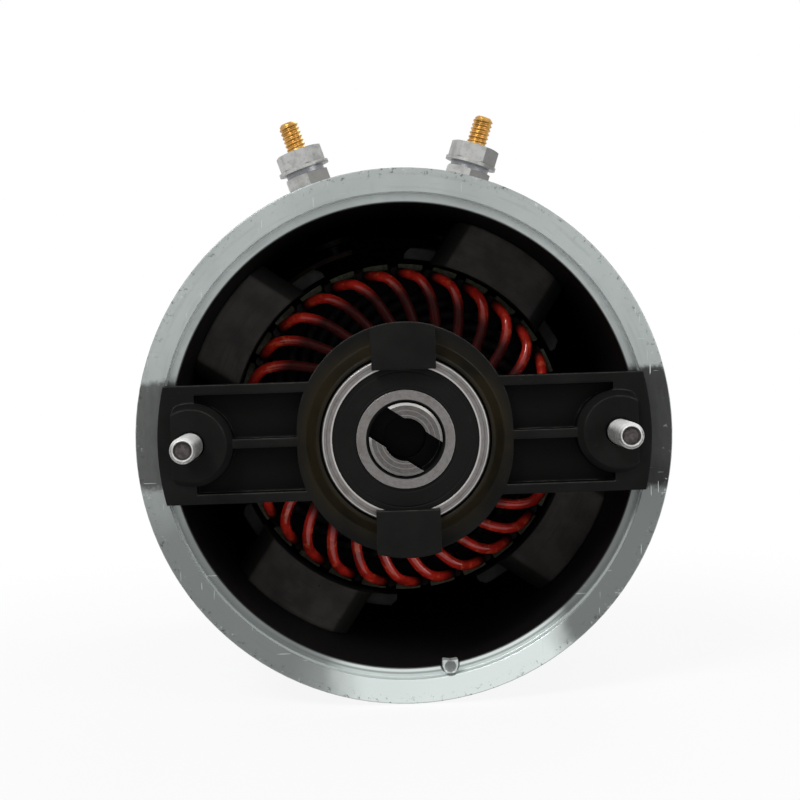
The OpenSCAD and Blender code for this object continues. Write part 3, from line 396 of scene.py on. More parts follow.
class Solid:
    """Gathers points and faces of one piece."""

    def __init__(self):
        self.points = []
        self.faces = []

    def rings(self, rings):
        """Skins a row of rings with equal numbers of points, and closes both ends."""
        first = len(self.points)
        count = len(rings[0])
        for ring in rings:
            self.points.extend(ring)
        for i in range(len(rings) - 1):
            for k in range(count):
                a = first + i * count + k
                b = first + i * count + (k + 1) % count
                self.faces.append((a, b, b + count, a + count))
        last = first + (len(rings) - 1) * count
        self.faces.append(tuple(range(first, first + count)))
        self.faces.append(tuple(reversed(range(last, last + count))))

    def tube(self, path, radius, sides=12):
        """Round wire along a path, with both ends closed."""
        rings = []
        side = None
        for i, point in enumerate(path):
            along = (path[min(i + 1, len(path) - 1)] - path[max(i - 1, 0)]).normalized()
            if side is None:
                side = along.orthogonal()
            side = (side - side.dot(along) * along).normalized()
            across = along.cross(side)
            turns = [2 * math.pi * k / sides for k in range(sides)]
            rings.append([point + radius * (math.cos(t) * side + math.sin(t) * across) for t in turns])
        self.rings(rings)

    def lathe(self, place, profile, sides=48):
        """Turns a profile of radius and height around the z axis of a placing matrix."""
        self.rings([circle(place, radius, height, sides) for radius, height in profile])

    def thread(self, place, radius, pitch, low, high, chamfer, tip=(), sides=36):
        """A screw thread from height low to high, with a chamfer at its tip and a profile beyond it."""
        depth = 0.36 * pitch
        steps = int((high - low) / pitch * 8)
        rings = []
        for i in range(steps + 1):
            height = low + (high - low) * i / steps
            ring = []
            run_in = min(1.0, (height - low) / pitch)
            most = radius - max(0.0, height - (high - chamfer))
            for k in range(sides):
                cut = depth * run_in * math.sin(math.pi * (height / pitch - k / sides)) ** 2
                ring.append(turned_point(place, min(radius - cut, most), 2 * math.pi * k / sides, height))
            rings.append(ring)
        self.rings(rings + [circle(place, r, height, sides) for r, height in tip])


def smooth_path(points, parts):
    """A smooth curve through points, with a number of short parts between each two."""
    path = []
    for i in range(len(points) - 1):
        before, a, b = points[max(i - 1, 0)], points[i], points[i + 1]
        after = points[min(i + 2, len(points) - 1)]
        for k in range(parts):
            t = k / parts
            path.append(0.5 * (
                2 * a + (b - before) * t + (2 * before - 5 * a + 4 * b - after) * t * t
                + (3 * a - before - 3 * b + after) * t ** 3
            ))
    return path + [points[-1]]


def around(angle, radius, forward):
    """A point from its angle in degrees, its radius and its height in front of the yoke's face."""
    turn = math.radians(angle)
    return Vector((radius * math.cos(turn), -forward, radius * math.sin(turn)))


# Places in the CAD parts that the pieces and finishes follow, in millimetres and degrees


YOKE_RADIUS = 63.5
STEP_RADIUS, STEP_DEPTH = 57.8, 3.0
BORE_RADIUS = 55.5
PIN_PLACE, PIN_RADIUS = (9.1, 0.0, -54.9), 1.85
BRACKET_FRONT, BRACKET_HALF = -5.0, 13.9
HUB_RADIUS, BOSS_FRONT = 25.3, -9.0
BOLT_X, BOLT_RADIUS = 50.0, 3.0
BOLT_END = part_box("through_bolts")[0].y / MM
BEARING_RADIUS = 20.0
SHAFT_RADIUS, SHAFT_END, SHAFT_CHAMFER = 8.5, -10.0, 0.6
UPPER_NUT_FOOT = 79.0
CORE_RADIUS, CROWN_FRONT = 42.7, 34.8
SLOTS, SLOT_TURN = 29, 4.0
SLOT_PITCH = 360 / SLOTS
COIL_PITCH = round(SLOTS / 4) * SLOT_PITCH


# Finishes of the motor


# Near black: varnish on coil tape and stud heads, and painted shade at the bearings' chamfers
BLACK_VARNISH_AND_SHADE = (0.004, 0.004, 0.004)


def zinc_yoke(colours, sizes):
    """Turned and plated face, scratched and stained, with painted shade and painted highlights, on a tube
    with a bore in dark varnish.
    """
    zinc = colours.zinc
    look = Finish("zinc_yoke", zinc, Metallic=1.0, Specular_IOR_Level=0.1)
    radius = look.radius()
    face = look.fall(look.depth, STEP_DEPTH + 0.05, STEP_DEPTH + 0.6)
    face = face * look.fall(radius, YOKE_RADIUS - 0.25, YOKE_RADIUS - 0.05)
    clouds = look.noise(26, detail=4)
    fine = look.noise(2.2, detail=5, rough=0.65)
    rings = look.turned(0.16)
    wide_rings = look.turned(1.1, 4)
    look.paint(look.step(clouds, 0.38, 0.66), tint(zinc, 0.87))
    look.paint(look.step(fine, 0.5, 0.75) * 0.35, tint(zinc, 0.75))
    look.paint(look.step(wide_rings, 0.52, 0.7) * face * 0.3, tint(zinc, 0.68))
    # Painted shade on the lower left and lower right of the face, and a painted highlight, the radial streak
    # of the turned face, at the bottom
    drift = look.angle() + (clouds - 0.5) * 0.3
    painted_dark_sectors = look.band(drift, -2.95, -1.92, 0.2) + look.band(drift, -0.88, -0.15, 0.04) * 1.12
    look.paint(painted_dark_sectors * face * 0.85, tint(zinc, 0.4))
    painted_streak_highlight = look.band(drift, -1.84, -0.93, 0.09)
    look.paint(painted_streak_highlight * face * 0.9, tint(zinc, 1.9))
    # Dark patches beside the bracket's ends, darker on the right
    low = look.z + (fine - 0.5) * 4
    right_side = look.step(look.x, -1, 1)
    beside = look.step(abs(look.x), BOLT_X + 3.0, BOLT_X + 4.5)
    beside = beside * look.step(low + right_side * 3.4, 2.4 - BRACKET_HALF, 4.7 - BRACKET_HALF)
    beside = beside * look.fall(low, BRACKET_HALF - 0.1, BRACKET_HALF + 1.9)
    streaky = look.noise(1.6, detail=4, rough=0.65, stretch=(0.8, 1, 2.6))
    left = look.blend(streaky, (0.062, 0.063, 0.058), (0.12, 0.124, 0.124))
    right = look.blend(streaky, (0.017, 0.0155, 0.0165), (0.042, 0.04, 0.042))
    look.paint(beside * face * 0.94, look.blend(right_side, left, right))
    # Scuffs and dark specks along the outer edge
    rim = look.step(radius, YOKE_RADIUS - 2.9, YOKE_RADIUS - 0.2) * look.fall(look.depth, 1.5, 4.0)
    specks = look.patches(0.56, 0.64, 1.5, detail=4, rough=0.75)
    look.paint(rim * specks * 0.8, (0.06, 0.055, 0.045))
    scuffs = look.noise(2.4, look.moved(9, 3, 5), detail=5, rough=0.75)
    look.paint(rim * look.step(scuffs, 0.6, 0.68) * 0.7, tint(zinc, 1.5))
    # Hair scratches that run across the face
    along = look.noise(1.0, detail=1, stretch=(9.0, 9.0, 0.35))
    across = look.noise(1.0, look.moved(31, 7, 11), detail=1, stretch=(0.4, 9.0, 7.0))
    scratch = look.step(along, 0.735, 0.75) + look.step(across, 0.735, 0.75)
    scratch = look.maths("MINIMUM", scratch, 1.0) * look.patches(0.42, 0.55, 14)
    scratch = scratch * (0.35 + 0.65 * face)
    look.paint(scratch * 0.65, tint(zinc, 1.6))
    # Painted shade around the lower half of the pin, where it sits in its hole
    reach = look.reach(PIN_PLACE[0], PIN_PLACE[2])
    painted_pin_gap_shade = look.band(reach, PIN_RADIUS - 0.15, PIN_RADIUS + 0.5, 0.12)
    painted_pin_gap_shade = painted_pin_gap_shade * look.fall(look.z, PIN_PLACE[2] - 0.2, PIN_PLACE[2] + 1.2)
    look.paint(painted_pin_gap_shade * 0.92, (0.03, 0.031, 0.031))
    # Varnish inside the bore
    inside = look.fall(radius, BORE_RADIUS + 0.1, BORE_RADIUS + 0.5)
    inside = inside * look.step(look.depth, STEP_DEPTH - 1.0, STEP_DEPTH + 0.2)
    look.paint(inside, (0.005, 0.005, 0.005))
    # Painted shade, a dark line, on the lower part of the sunk step, and painted light on the shaded wall
    # around it
    painted_step_line_shade = look.band(radius, BORE_RADIUS + 1.0, BORE_RADIUS + 1.5, 0.15)
    painted_step_line_shade = painted_step_line_shade * look.band(drift, -2.3, -0.75, 0.25)
    look.paint(painted_step_line_shade * look.step(look.depth, STEP_DEPTH - 1.0, STEP_DEPTH - 0.2) * 0.6, tint(zinc, 0.35))
    painted_light_step_wall = look.band(radius, STEP_RADIUS - 0.2, STEP_RADIUS + 0.2, 0.08)
    painted_light_step_wall = painted_light_step_wall * look.band(look.depth, 0.15, STEP_DEPTH - 0.05, 0.1)
    look.paint(painted_light_step_wall, tint(zinc, 1.6))
    under = look.bump(look.noise(9, detail=3), 0.05, look.rounded(sizes.edge_round / MM))
    return look.close(
        Metallic=1 - inside - 0.95 * painted_light_step_wall,
        Roughness=0.42 - 0.1 * face + 0.1 * fine + 0.2 * beside - 0.06 * scratch + 0.12 * inside,
        Normal=look.bump(rings * 0.6 + wide_rings * 0.3 + scratch * 0.3 + fine * 0.25, 0.018, under),
    )


def pin_steel(colours):
    """Upset end of a pin: dull in the middle, with a bright edge that is partly burnished where it was
    hammered over and partly a painted highlight.
    """
    zinc = colours.zinc
    look = Finish("pin_steel", tint(zinc, 0.42), Metallic=0.3, Roughness=0.35, Specular_IOR_Level=0.2)
    reach = look.reach(PIN_PLACE[0], PIN_PLACE[2])
    # Painted highlight, partly burnished metal, on the edge and horns
    look.paint(look.step(reach + 0.5 * look.noise(0.6), PIN_RADIUS - 0.4, PIN_RADIUS), tint(zinc, 1.5))
    return look.close(Normal=look.rounded(0.2))


def black_casting(colours, sizes, name="black_casting", glossy_cone=True):
    """Dull black coat on a casting, with a little dust, a little wear on its edges and a painted highlight
    on the edges that face up.
    """
    look = Finish(name, colours.black_coat, Specular_IOR_Level=0.07)
    grain = look.noise(0.55, detail=5, rough=0.6)
    clouds = look.noise(12, detail=4)
    look.paint(look.step(clouds, 0.35, 0.7), tint(colours.black_coat, 1.9))
    dust = look.patches(0.69, 0.76, 0.8, detail=2, rough=0.8)
    look.paint(dust * 0.3, (0.06, 0.058, 0.055))
    # Painted highlight on the edges that face up, over a little wear on all edges
    up = look.step(look.facing((0, -0.3, 1), look.rounded(0.6)), 0.3, 0.7)
    patches = 0.45 + 0.55 * look.patches(0.35, 0.65, 2.4, detail=4)
    wear_and_painted_light = look.edges(0.5) * (0.12 + 0.88 * up) * patches
    look.paint(wear_and_painted_light * 0.9, (0.12, 0.117, 0.11))
    rough = 0.46 + 0.16 * grain - 0.08 * wear_and_painted_light
    if glossy_cone:
        # Painted brown reflection on the hub's glossier cone, and painted shade, deep black, in the sunk
        # fields of the arms
        radius = look.radius()
        cone = look.step(radius, BEARING_RADIUS - 1.0, BEARING_RADIUS + 0.5)
        cone = cone * look.fall(radius, HUB_RADIUS - 2.5, HUB_RADIUS + 1.2)
        cone = cone * look.band(look.depth, BOSS_FRONT - 0.05, BRACKET_FRONT + 0.5, 0.1)
        look.paint(cone * look.step(clouds, 0.2, 0.6), (0.017, 0.013, 0.0065))
        rough = rough * (1 - 0.4 * cone)
        sunk = look.step(look.depth, BRACKET_FRONT + 0.8, BRACKET_FRONT + 3.5) * (1 - wear_and_painted_light)
        look.paint(sunk * 0.85, (0.0008, 0.0008, 0.0007))
    under = look.rounded(sizes.edge_round / MM * 2)
    return look.close(Roughness=rough, Normal=look.bump(grain * 0.5 + clouds * 0.5, 0.06, under))


def bright_zinc(colours, sizes, name="bright_zinc"):
    """Zinc plate with fine tool marks, grey clouds and dirt in the corners."""
    zinc = colours.bright_zinc
    metallic = 0.4 if name == "bolt_zinc" else 0.15
    look = Finish(name, zinc, Metallic=metallic, Specular_IOR_Level=0.3)
    clouds = look.noise(2.6, detail=4)
    fine = look.noise(0.35, detail=3)
    look.paint(look.step(clouds, 0.4, 0.66) * 0.8, tint(zinc, 0.62))
    dirt = look.patches(0.57, 0.68, 1.1, detail=4, rough=0.7)
    look.paint(dirt * 0.6, (0.12, 0.11, 0.095))
    look.paint(look.edges(0.3, 0.04, 0.3) * 0.6, tint(zinc, 1.3))
    if name == "nut_zinc":
        shade_and_tarnish_nuts(look, clouds)
    if name == "bolt_zinc":
        bolt_weather_and_painted_light(look, zinc)
    under = look.rounded(sizes.edge_round / MM * 0.6)
    return look.close(
        Roughness=0.26 + 0.16 * fine + 0.2 * dirt,
        Normal=look.bump(fine * 0.5 + clouds * 0.5, 0.03, under),
    )


def shade_and_tarnish_nuts(look, clouds):
    """Paints shade on the nuts' right-hand facets, apart from the upper nut on the left, and grey clouds
    over them.
    """
    right = look.step(look.facing((1, 0, 0)), 0.42, 0.5)
    upper = look.step(look.radius(), UPPER_NUT_FOOT, UPPER_NUT_FOOT + 0.4)
    upper_left = upper * look.fall(look.x, -1, 1)
    look.paint(right * (1 - upper_left) * 0.75, (0.1, 0.097, 0.095))
    look.paint(clouds * 0.5, (0.33, 0.32, 0.3))


def bolt_weather_and_painted_light(look, zinc):
    """Rust in the bolts' hollow ends, dirt and painted shade in their threads, a painted highlight on their
    upper sides and painted shade on the sides that face inwards.
    """
    reach = look.reach(BOLT_X, 0, look.vector("ABSOLUTE", look.place))
    tip = look.fall(look.depth, BOLT_END + 0.05, BOLT_END + 0.2)
    hollow = look.fall(reach, BOLT_RADIUS - 1.05, BOLT_RADIUS - 0.8)
    hollow = hollow * look.fall(look.depth, BOSS_FRONT - 0.5, BOSS_FRONT)
    rust = look.patches(0.35, 0.65, 0.9, detail=4)
    look.paint(hollow * 0.95, look.blend(rust, (0.012, 0.01, 0.01), (0.09, 0.07, 0.068)))
    look.paint(tip * (1 - hollow) * 0.5, tint(zinc, 1.3))
    # Dirt patches, and painted shade in the thread roots
    patchy = look.patches(0.34, 0.56, 1.2, detail=4, rough=0.7)
    groove = look.fall(reach, BOLT_RADIUS - 0.4, BOLT_RADIUS - 0.08) * (1 - hollow)
    look.paint((1 - tip) * (patchy * 0.42 + groove * 0.2), (0.05, 0.047, 0.046))
    # Painted highlight on the upper sides, and painted shade on the sides that face inwards
    painted_top_highlight = look.step(look.facing((0, -0.2, 1)), 0.3, 0.75) * (1 - hollow)
    inner = look.step(look.facing((-1, 0, 0)) * look.x / BOLT_X, 0.35, 0.75)
    look.paint(painted_top_highlight * 0.75, (0.9, 0.9, 0.88))
    look.paint(inner * (1 - painted_top_highlight) * (1 - hollow) * (1 - tip) * 0.55, (0.09, 0.088, 0.085))


def yellow_metal(name, base, dull):
    """Brass or copper, darker where it has tarnished."""
    look = Finish(name, base, Metallic=1.0, Specular_IOR_Level=0.1)
    clouds = look.noise(2.6, detail=5, rough=0.6)
    fine = look.noise(0.4, detail=3)
    look.paint(look.step(clouds, 0.4, 0.7), dull)
    spots = look.patches(0.62, 0.7, 0.9, detail=3, rough=0.7)
    look.paint(spots * 0.6, tint(dull, 0.4))
    if name == "stud_brass":
        # Black varnish on the stud heads inside the yoke
        varnish_and_shade = look.fall(look.radius(), BORE_RADIUS - 0.5, BORE_RADIUS + 0.5)
        look.paint(varnish_and_shade, BLACK_VARNISH_AND_SHADE)
        look.feed("Metallic", 1 - varnish_and_shade)
    return look.close(
        Roughness=0.22 + 0.18 * fine + 0.2 * spots,
        Normal=look.bump(fine * 0.6 + clouds * 0.4, 0.02, look.rounded(0.2)),
    )


def wire_enamel(colours):
    """Thick red enamel: clear and glossy, darker where it lies thick, with painted shade in the lower layer
    and towards the shaft.
    """
    look = Finish("wire_enamel", colours.enamel, Coat_Roughness=0.05, Specular_IOR_Level=0.15)
    drops = look.noise(3.4, detail=3)
    fine = look.noise(0.7, detail=3)
    radius = look.radius()
    look.paint(look.step(drops, 0.35, 0.7), tint(colours.enamel, 0.5))
    thin = look.patches(0.53, 0.66, 2.0, detail=4, rough=0.6)
    look.paint(thin * 0.6, (0.85, 0.13, 0.045))
    # Painted shade towards the shaft, where the hub shades the upper loops, in the layer below the loops and
    # on the deeper wire where it leaves the slots
    inwards = look.fall(radius - 0.09 * look.z, CORE_RADIUS - 11.7, CORE_RADIUS - 6.2)
    lower = look.step(look.depth, CROWN_FRONT + 2.6, CROWN_FRONT + 5.0)
    lower = lower * (1 - 0.8 * look.step(radius, CORE_RADIUS - 5.1, CORE_RADIUS - 3.5))
    painted_wire_shade = look.maths("MAXIMUM", lower, inwards * 0.93)
    painted_wire_shade = look.maths("MAXIMUM", painted_wire_shade, look.step(look.depth, CROWN_FRONT + 1.3, CROWN_FRONT + 5.5))
    look.paint(painted_wire_shade, (0.003, 0.0012, 0.0014))
    return look.close(
        Coat_Weight=(0.6 + 0.3 * drops) * (1 - painted_wire_shade),
        Roughness=0.16 + 0.12 * fine + 0.5 * painted_wire_shade,
        Normal=look.bump(drops * 0.7 + fine * 0.3, 0.09),
    )


def coil_tape(colours):
    """Cotton tape wound around the coil and dipped in black varnish, with painted shade on the sides, so
    that the flat ends look greyer.
    """
    look = Finish("coil_tape", colours.tape, Specular_IOR_Level=0.12)
    radius = look.radius()
    ribs = look.node(
        "ShaderNodeCombineXYZ", None, {0: radius, 1: look.angle() * 2.5, 2: look.depth * 0.35}
    )
    layers = look.noise(0.7, ribs, detail=2)
    clouds = look.noise(7, detail=4)
    weave = look.noise(0.25, detail=2)
    look.paint(look.step(clouds, 0.35, 0.65), tint(colours.tape, 1.6))
    look.paint(look.step(layers, 0.5, 0.75) * 0.25, tint(colours.tape, 0.6))
    pits = look.patches(0.63, 0.7, 1.3, detail=4, rough=0.7) * look.fall(radius, 45, 49)
    look.paint(pits * 0.8, BLACK_VARNISH_AND_SHADE)
    # Painted shade on the sides that don't face along the axis
    sides = look.fall(abs(look.facing((0, 1, 0))), 0.93, 0.99)
    look.paint(sides, tint(colours.tape, 0.28))
    return look.close(
        Roughness=0.5 + 0.2 * clouds,
        Normal=look.bump(layers * 0.4 + weave * 0.3 + clouds * 0.3, 0.2, look.rounded(1.2)),
    )


def dark_iron():
    """Pole iron under thin dark varnish, with the bare sheet edges showing faintly."""
    look = Finish("dark_iron", (0.014, 0.0145, 0.014), Specular_IOR_Level=0.12)
    sheets = look.noise(0.5, detail=1, stretch=(60, 1, 60))
    clouds = look.noise(5, detail=4)
    look.paint(look.step(clouds, 0.4, 0.65), (0.03, 0.031, 0.029))
    look.paint(look.edges(0.4) * 0.5, (0.07, 0.07, 0.068))
    return look.close(
        Roughness=0.42 + 0.2 * clouds,
        Normal=look.bump(sheets * 0.7 + clouds * 0.3, 0.04, look.rounded(0.8)),
    )


def core_sheets():
    """Stack of thin sheets whose edges show as fine lines around the core."""
    look = Finish("core_sheets", (0.035, 0.038, 0.035), Metallic=0.7)
    lines = look.noise(0.45, detail=1, stretch=(80, 1, 80))
    clouds = look.noise(6, detail=4)
    look.paint(look.step(lines, 0.4, 0.6), (0.11, 0.115, 0.105))
    look.paint(clouds * 0.5, (0.05, 0.04, 0.03))
    return look.close(Roughness=0.36 + 0.25 * clouds, Normal=look.bump(lines, 0.05))


def insulating_fibre(name, base, other, unshaded_from=0):
    """Pressed fibre or moulded resin: fine flecks in a dull ground, with painted shade, near black, inside a
    radius.
    """
    look = Finish(name, base, Specular_IOR_Level=0.35)
    flecks = look.noise(0.9, detail=5, rough=0.7)
    look.paint(look.step(flecks, 0.4, 0.7), other)
    if unshaded_from:
        # Painted shade: near black inside the radius, where the plates lie deep between the wires
        varnish_and_shade = look.fall(look.radius(), unshaded_from - 0.2, unshaded_from + 0.2)
        look.paint(varnish_and_shade, (0.0012, 0.0012, 0.0012))
        look.feed("Specular IOR Level", 0.04)
    else:
        look.paint(look.noise(7, detail=3) * 0.35, tint(base, 0.6))
    return look.close(
        Roughness=0.42 + 0.22 * flecks, Normal=look.bump(flecks, 0.03, look.rounded(0.25))
    )


def ground_steel(colours, name="ground_steel", share=1.0, pitch=0.11):
    """Ground or turned steel: fine rings around the axis, brown haze, painted highlights on the edges."""
    base = tint(colours.steel, share)
    look = Finish(name, base, Metallic=1.0, Specular_IOR_Level=0.05)
    rings = look.turned(pitch, 10)
    clouds = look.noise(4, detail=4)
    spots = look.noise(1.1, detail=4, rough=0.65)
    look.paint(look.step(rings, 0.35, 0.7), tint(base, 0.72))
    look.paint(look.step(clouds, 0.5, 0.75) * 0.5, (0.1, 0.08, 0.065))
    look.paint(look.step(spots, 0.5, 0.7) * 0.4, tint(base, 0.5))
    # Painted highlights on the edges
    look.paint(look.edges(0.25, 0.04, 0.3) * 0.8, tint(base, 2.6))
    if name == "shaft_steel":
        shaft_end_shade_and_highlight(look, base)
    if name == "ground_steel":
        line_bearing(look, base)
    return look.close(
        Roughness=0.26 + 0.16 * rings + 0.12 * clouds,
        Normal=look.bump(rings + spots * 0.5, 0.01, look.rounded(0.2)),
    )


def shaft_end_shade_and_highlight(look, base):
    """Painted shade in the slot and the centre bore, a painted highlight on the chamfer, brighter on its
    upper side, and lathe lines.
    """
    radius = look.radius()
    inner, foot = SHAFT_RADIUS - SHAFT_CHAMFER, SHAFT_END + SHAFT_CHAMFER
    # Painted shade in the slot and the centre bore
    sunk = look.fall(radius, SHAFT_RADIUS - 0.15, SHAFT_RADIUS - 0.05)
    sunk = sunk * look.step(look.depth, SHAFT_END + 0.2, SHAFT_END + 0.8)
    chamfer = look.step(radius, inner - 0.05, inner + 0.05) * look.fall(look.depth, foot - 0.02, foot + 0.02)
    lines = look.band(radius, 5.5, 5.7, 0.1) + look.band(radius, 6.7, 6.85, 0.1)
    look.paint(lines * 0.6, tint(base, 2.2))
    look.paint(sunk, (0.0025, 0.0022, 0.0024))
    # Painted highlight on the chamfer, brighter on its upper side
    lit = 0.3 + 0.7 * look.step(look.z - 0.35 * look.x, 1.5, 5.5)
    look.paint(chamfer * lit, (0.62, 0.6, 0.58))
    look.feed("Metallic", 1 - look.maths("MAXIMUM", sunk, 0.75 * chamfer))


def line_bearing(look, base):
    """Painted shade at the rings' outer and inner chamfers, painted highlights as bright lines at the outer
    lands, and a dark line between them.
    """
    radius = look.radius()
    # Painted highlights: bright lines at the outer lands
    lands = look.band(radius, 19.0, 19.35, 0.06) + look.band(radius, 17.1, 17.45, 0.06)
    look.paint(lands * 0.75, tint(base, 2.4))
    look.paint(look.band(radius, 18.2, 18.45, 0.06) * 0.6, tint(base, 0.4))
    # Painted shade at the rings' outer and inner chamfers
    dark = look.step(radius, BEARING_RADIUS - 0.6, BEARING_RADIUS - 0.5)
    dark = dark + look.fall(radius, SHAFT_RADIUS + 0.65, SHAFT_RADIUS + 0.8)
    look.paint(dark, BLACK_VARNISH_AND_SHADE)
    look.feed("Metallic", 1 - dark)


def seal_rubber():
    """Black rubber lip seal with two shallow rings and a little dust."""
    look = Finish("seal_rubber", (0.0045, 0.0046, 0.0045), Specular_IOR_Level=0.06)
    radius = look.radius()
    groove = look.band(radius, 15.6, 15.9, 0.12) + look.band(radius, 12.0, 12.3, 0.12)
    dust = look.patches(0.62, 0.74, 0.7, detail=3, rough=0.8)
    clouds = look.noise(5)
    look.paint(dust * 0.3 + clouds * 0.1, (0.045, 0.043, 0.04))
    return look.close(Roughness=0.42 + 0.2 * clouds + 0.1 * dust, Normal=look.bump(1 - groove, 0.08))


def pressed_carbon():
    """Brush carbon with copper grains."""
    look = Finish("pressed_carbon", (0.018, 0.017, 0.017), Roughness=0.5)
    grains = look.node("ShaderNodeTexVoronoi", None, {"Vector": look.place, "Scale": 1 / 0.35})
    copper = look.patches(0.55, 0.7, 1.5, detail=4)
    look.paint(copper * 0.5, (0.12, 0.05, 0.025))
    return look.close(Metallic=copper * 0.6, Normal=look.bump(grains, 0.02, look.rounded(0.2)))


def spring_steel():
    """Drawn wire: dark and even, with faint lines."""
    look = Finish("spring_steel", (0.13, 0.135, 0.15), Metallic=1.0)
    fine = look.noise(0.5, detail=4)
    look.paint(fine, (0.3, 0.3, 0.31))
    return look.close(Roughness=0.26 + 0.2 * fine, Normal=look.bump(fine, 0.01))


# One operator for each piece or group of like pieces


class MOTOR_OT_yoke(bpy.types.Operator):
    """Finish the yoke tube and set the small upset pin in the lower edge of its bore"""

    bl_idname = "motor.yoke"
    bl_label = "Yoke"

    def execute(self, context):
        colours = context.scene.motor_colours
        put_on(zinc_yoke(colours, context.scene.motor_sizes), "yoke_tube")
        add_piece("bore_pin", self.upset_pin(), pin_steel(colours), "frame", "yoke_zinc")
        return {"FINISHED"}

    @staticmethod
    def upset_pin():
        """A pin whose hammered end has two horns, with a dip between them, and a ragged edge."""
        horn, horn_rise, dip, ragged, sides = 0.6, 0.25, 0.55, 0.1, 40
        profile = ((1, -3.0), (1, -0.4), (0.97, 0.0), (0.85, 0.12), (0.62, -0.05), (0.4, -0.3))
        rings = []
        for share, height in profile:
            ring = []
            for turn in (360 * k / sides for k in range(sides)):
                horns = math.exp(-((turn - 42) / 13) ** 2) + math.exp(-((turn - 138) / 13) ** 2)
                reach = PIN_RADIUS + horn * horns - dip * math.exp(-((turn - 90) / 26) ** 2)
                reach += ragged * math.sin(math.radians(5 * turn))
                ring.append(Vector(PIN_PLACE) + around(turn, share * reach, height + horn_rise * horns))
            rings.append(ring)
        pin = Solid()
        pin.rings(rings)
        return pin


class MOTOR_OT_castings(bpy.types.Operator):
    """Coat the front bracket and the rear cover"""

    bl_idname = "motor.castings"
    bl_label = "Bracket and cover"

    def execute(self, context):
        colours, sizes = context.scene.motor_colours, context.scene.motor_sizes
        put_on(black_casting(colours, sizes), "front_bracket")
        put_on(black_casting(colours, sizes, "cover_coat", glossy_cone=False), "rear_cover")
        return {"FINISHED"}


class MOTOR_OT_bolts(bpy.types.Operator):
    """Make the through bolts with their threads, dimpled tips and hexagon heads"""

    bl_idname = "motor.bolts"
    bl_label = "Through bolts"

    def execute(self, context):
        colours, sizes = context.scene.motor_colours, context.scene.motor_sizes
        zinc = bright_zinc(colours, sizes)
        put_on(zinc, "through_bolt_washers", "pole_screws", "brush_plate_screws")
        head_radius, head_height, head_chamfer = 5.77, 4.0, 0.4
        shank_radius, thread_foot = 2.7, 7.2
        low, high = (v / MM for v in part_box("through_bolts"))
        tip, seat = -low.y, head_height - high.y
        dimple = [(2.2, tip), (2.1, tip - 0.15), (1.6, tip - 0.95)]
        bolts = Solid()
        for side in (-1, 1):
            place = Matrix.Translation((side * (high.x - head_radius), 0, 0))
            place = place @ Matrix.Rotation(math.radians(90), 4, "X")
            bolts.lathe(place, [(shank_radius, seat), (shank_radius, thread_foot + 0.1)], 32)
            bolts.thread(place, BOLT_RADIUS, sizes.bolt_pitch / MM, thread_foot, tip, 0.7, dimple)
            bolts.lathe(place, [
                (0.93 * head_radius, seat - head_height),
                (head_radius, seat - head_height + head_chamfer), (head_radius, seat),
            ], 6)
        wear_and_painted_light = bright_zinc(colours, sizes, "bolt_zinc")
        add_piece("bolt_pair", bolts, wear_and_painted_light, "frame", "zinc", "through_bolts")
        return {"FINISHED"}


class MOTOR_OT_terminals(bpy.types.Operator):
    """Make the threaded terminal studs and finish their nuts, washers, bushes and straps"""

    bl_idname = "motor.terminals"
    bl_label = "Terminals"

    def execute(self, context):
        colours, sizes = context.scene.motor_colours, context.scene.motor_sizes
        put_on(
            bright_zinc(colours, sizes, "nut_zinc"),
            "terminal_base_washers", "terminal_lower_nuts", "terminal_flat_washers", "terminal_upper_nuts",
        )
        put_on(spring_steel(), "terminal_spring_washers")
        bush = insulating_fibre("bush_fibre", (0.03, 0.02, 0.014), (0.06, 0.035, 0.02))
        put_on(bush, "terminal_insulators")
        put_on(yellow_metal("bare_copper", colours.copper, tint(colours.copper, 0.5)), "brush_links")
        put_on(
            yellow_metal("varnished_copper", (0.014, 0.009, 0.007), (0.006, 0.005, 0.005)),
            "terminal_straps", "coil_links",
        )
        brass = yellow_metal("stud_brass", colours.brass, tint(colours.brass, 0.6))
        lean, radius, shank_radius, head_radius = 18.5, 3.0, 2.7, 5.1
        head_foot, head_top, thread_foot, tip = 51.4, 53.9, 84.65, 93.5
        for side, name in ((-1, "left"), (1, "right")):
            node = f"terminal_stud_{name}"
            low, high = (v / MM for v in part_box(node))
            place = Matrix.Translation((0, (low.y + high.y) / 2, 0))
            place = place @ Matrix.Rotation(math.radians(side * lean), 4, "Y")
            stud = Solid()
            rim = [(head_radius, head_foot), (head_radius, head_top - 0.2), (head_radius - 0.2, head_top)]
            stud.lathe(place, rim, 32)
            stud.lathe(place, [(shank_radius, head_top - 0.4), (shank_radius, thread_foot + 0.15)], 32)
            stud.thread(place, radius, sizes.stud_pitch / MM, thread_foot, tip, 1.0, [(1.2, tip)])
            add_piece(f"terminal_thread_{name}", stud, brass, "frame", "brass", node)
        return {"FINISHED"}


class MOTOR_OT_field(bpy.types.Operator):
    """Finish the poles and wrap the field coils"""

    bl_idname = "motor.field"
    bl_label = "Poles and coils"

    def execute(self, context):
        colours = context.scene.motor_colours
        put_on(dark_iron(), *[f"pole_shoe_{k}" for k in range(1, 5)])
        put_on(coil_tape(colours), *[f"field_coil_{k}" for k in range(1, 5)])
        return {"FINISHED"}


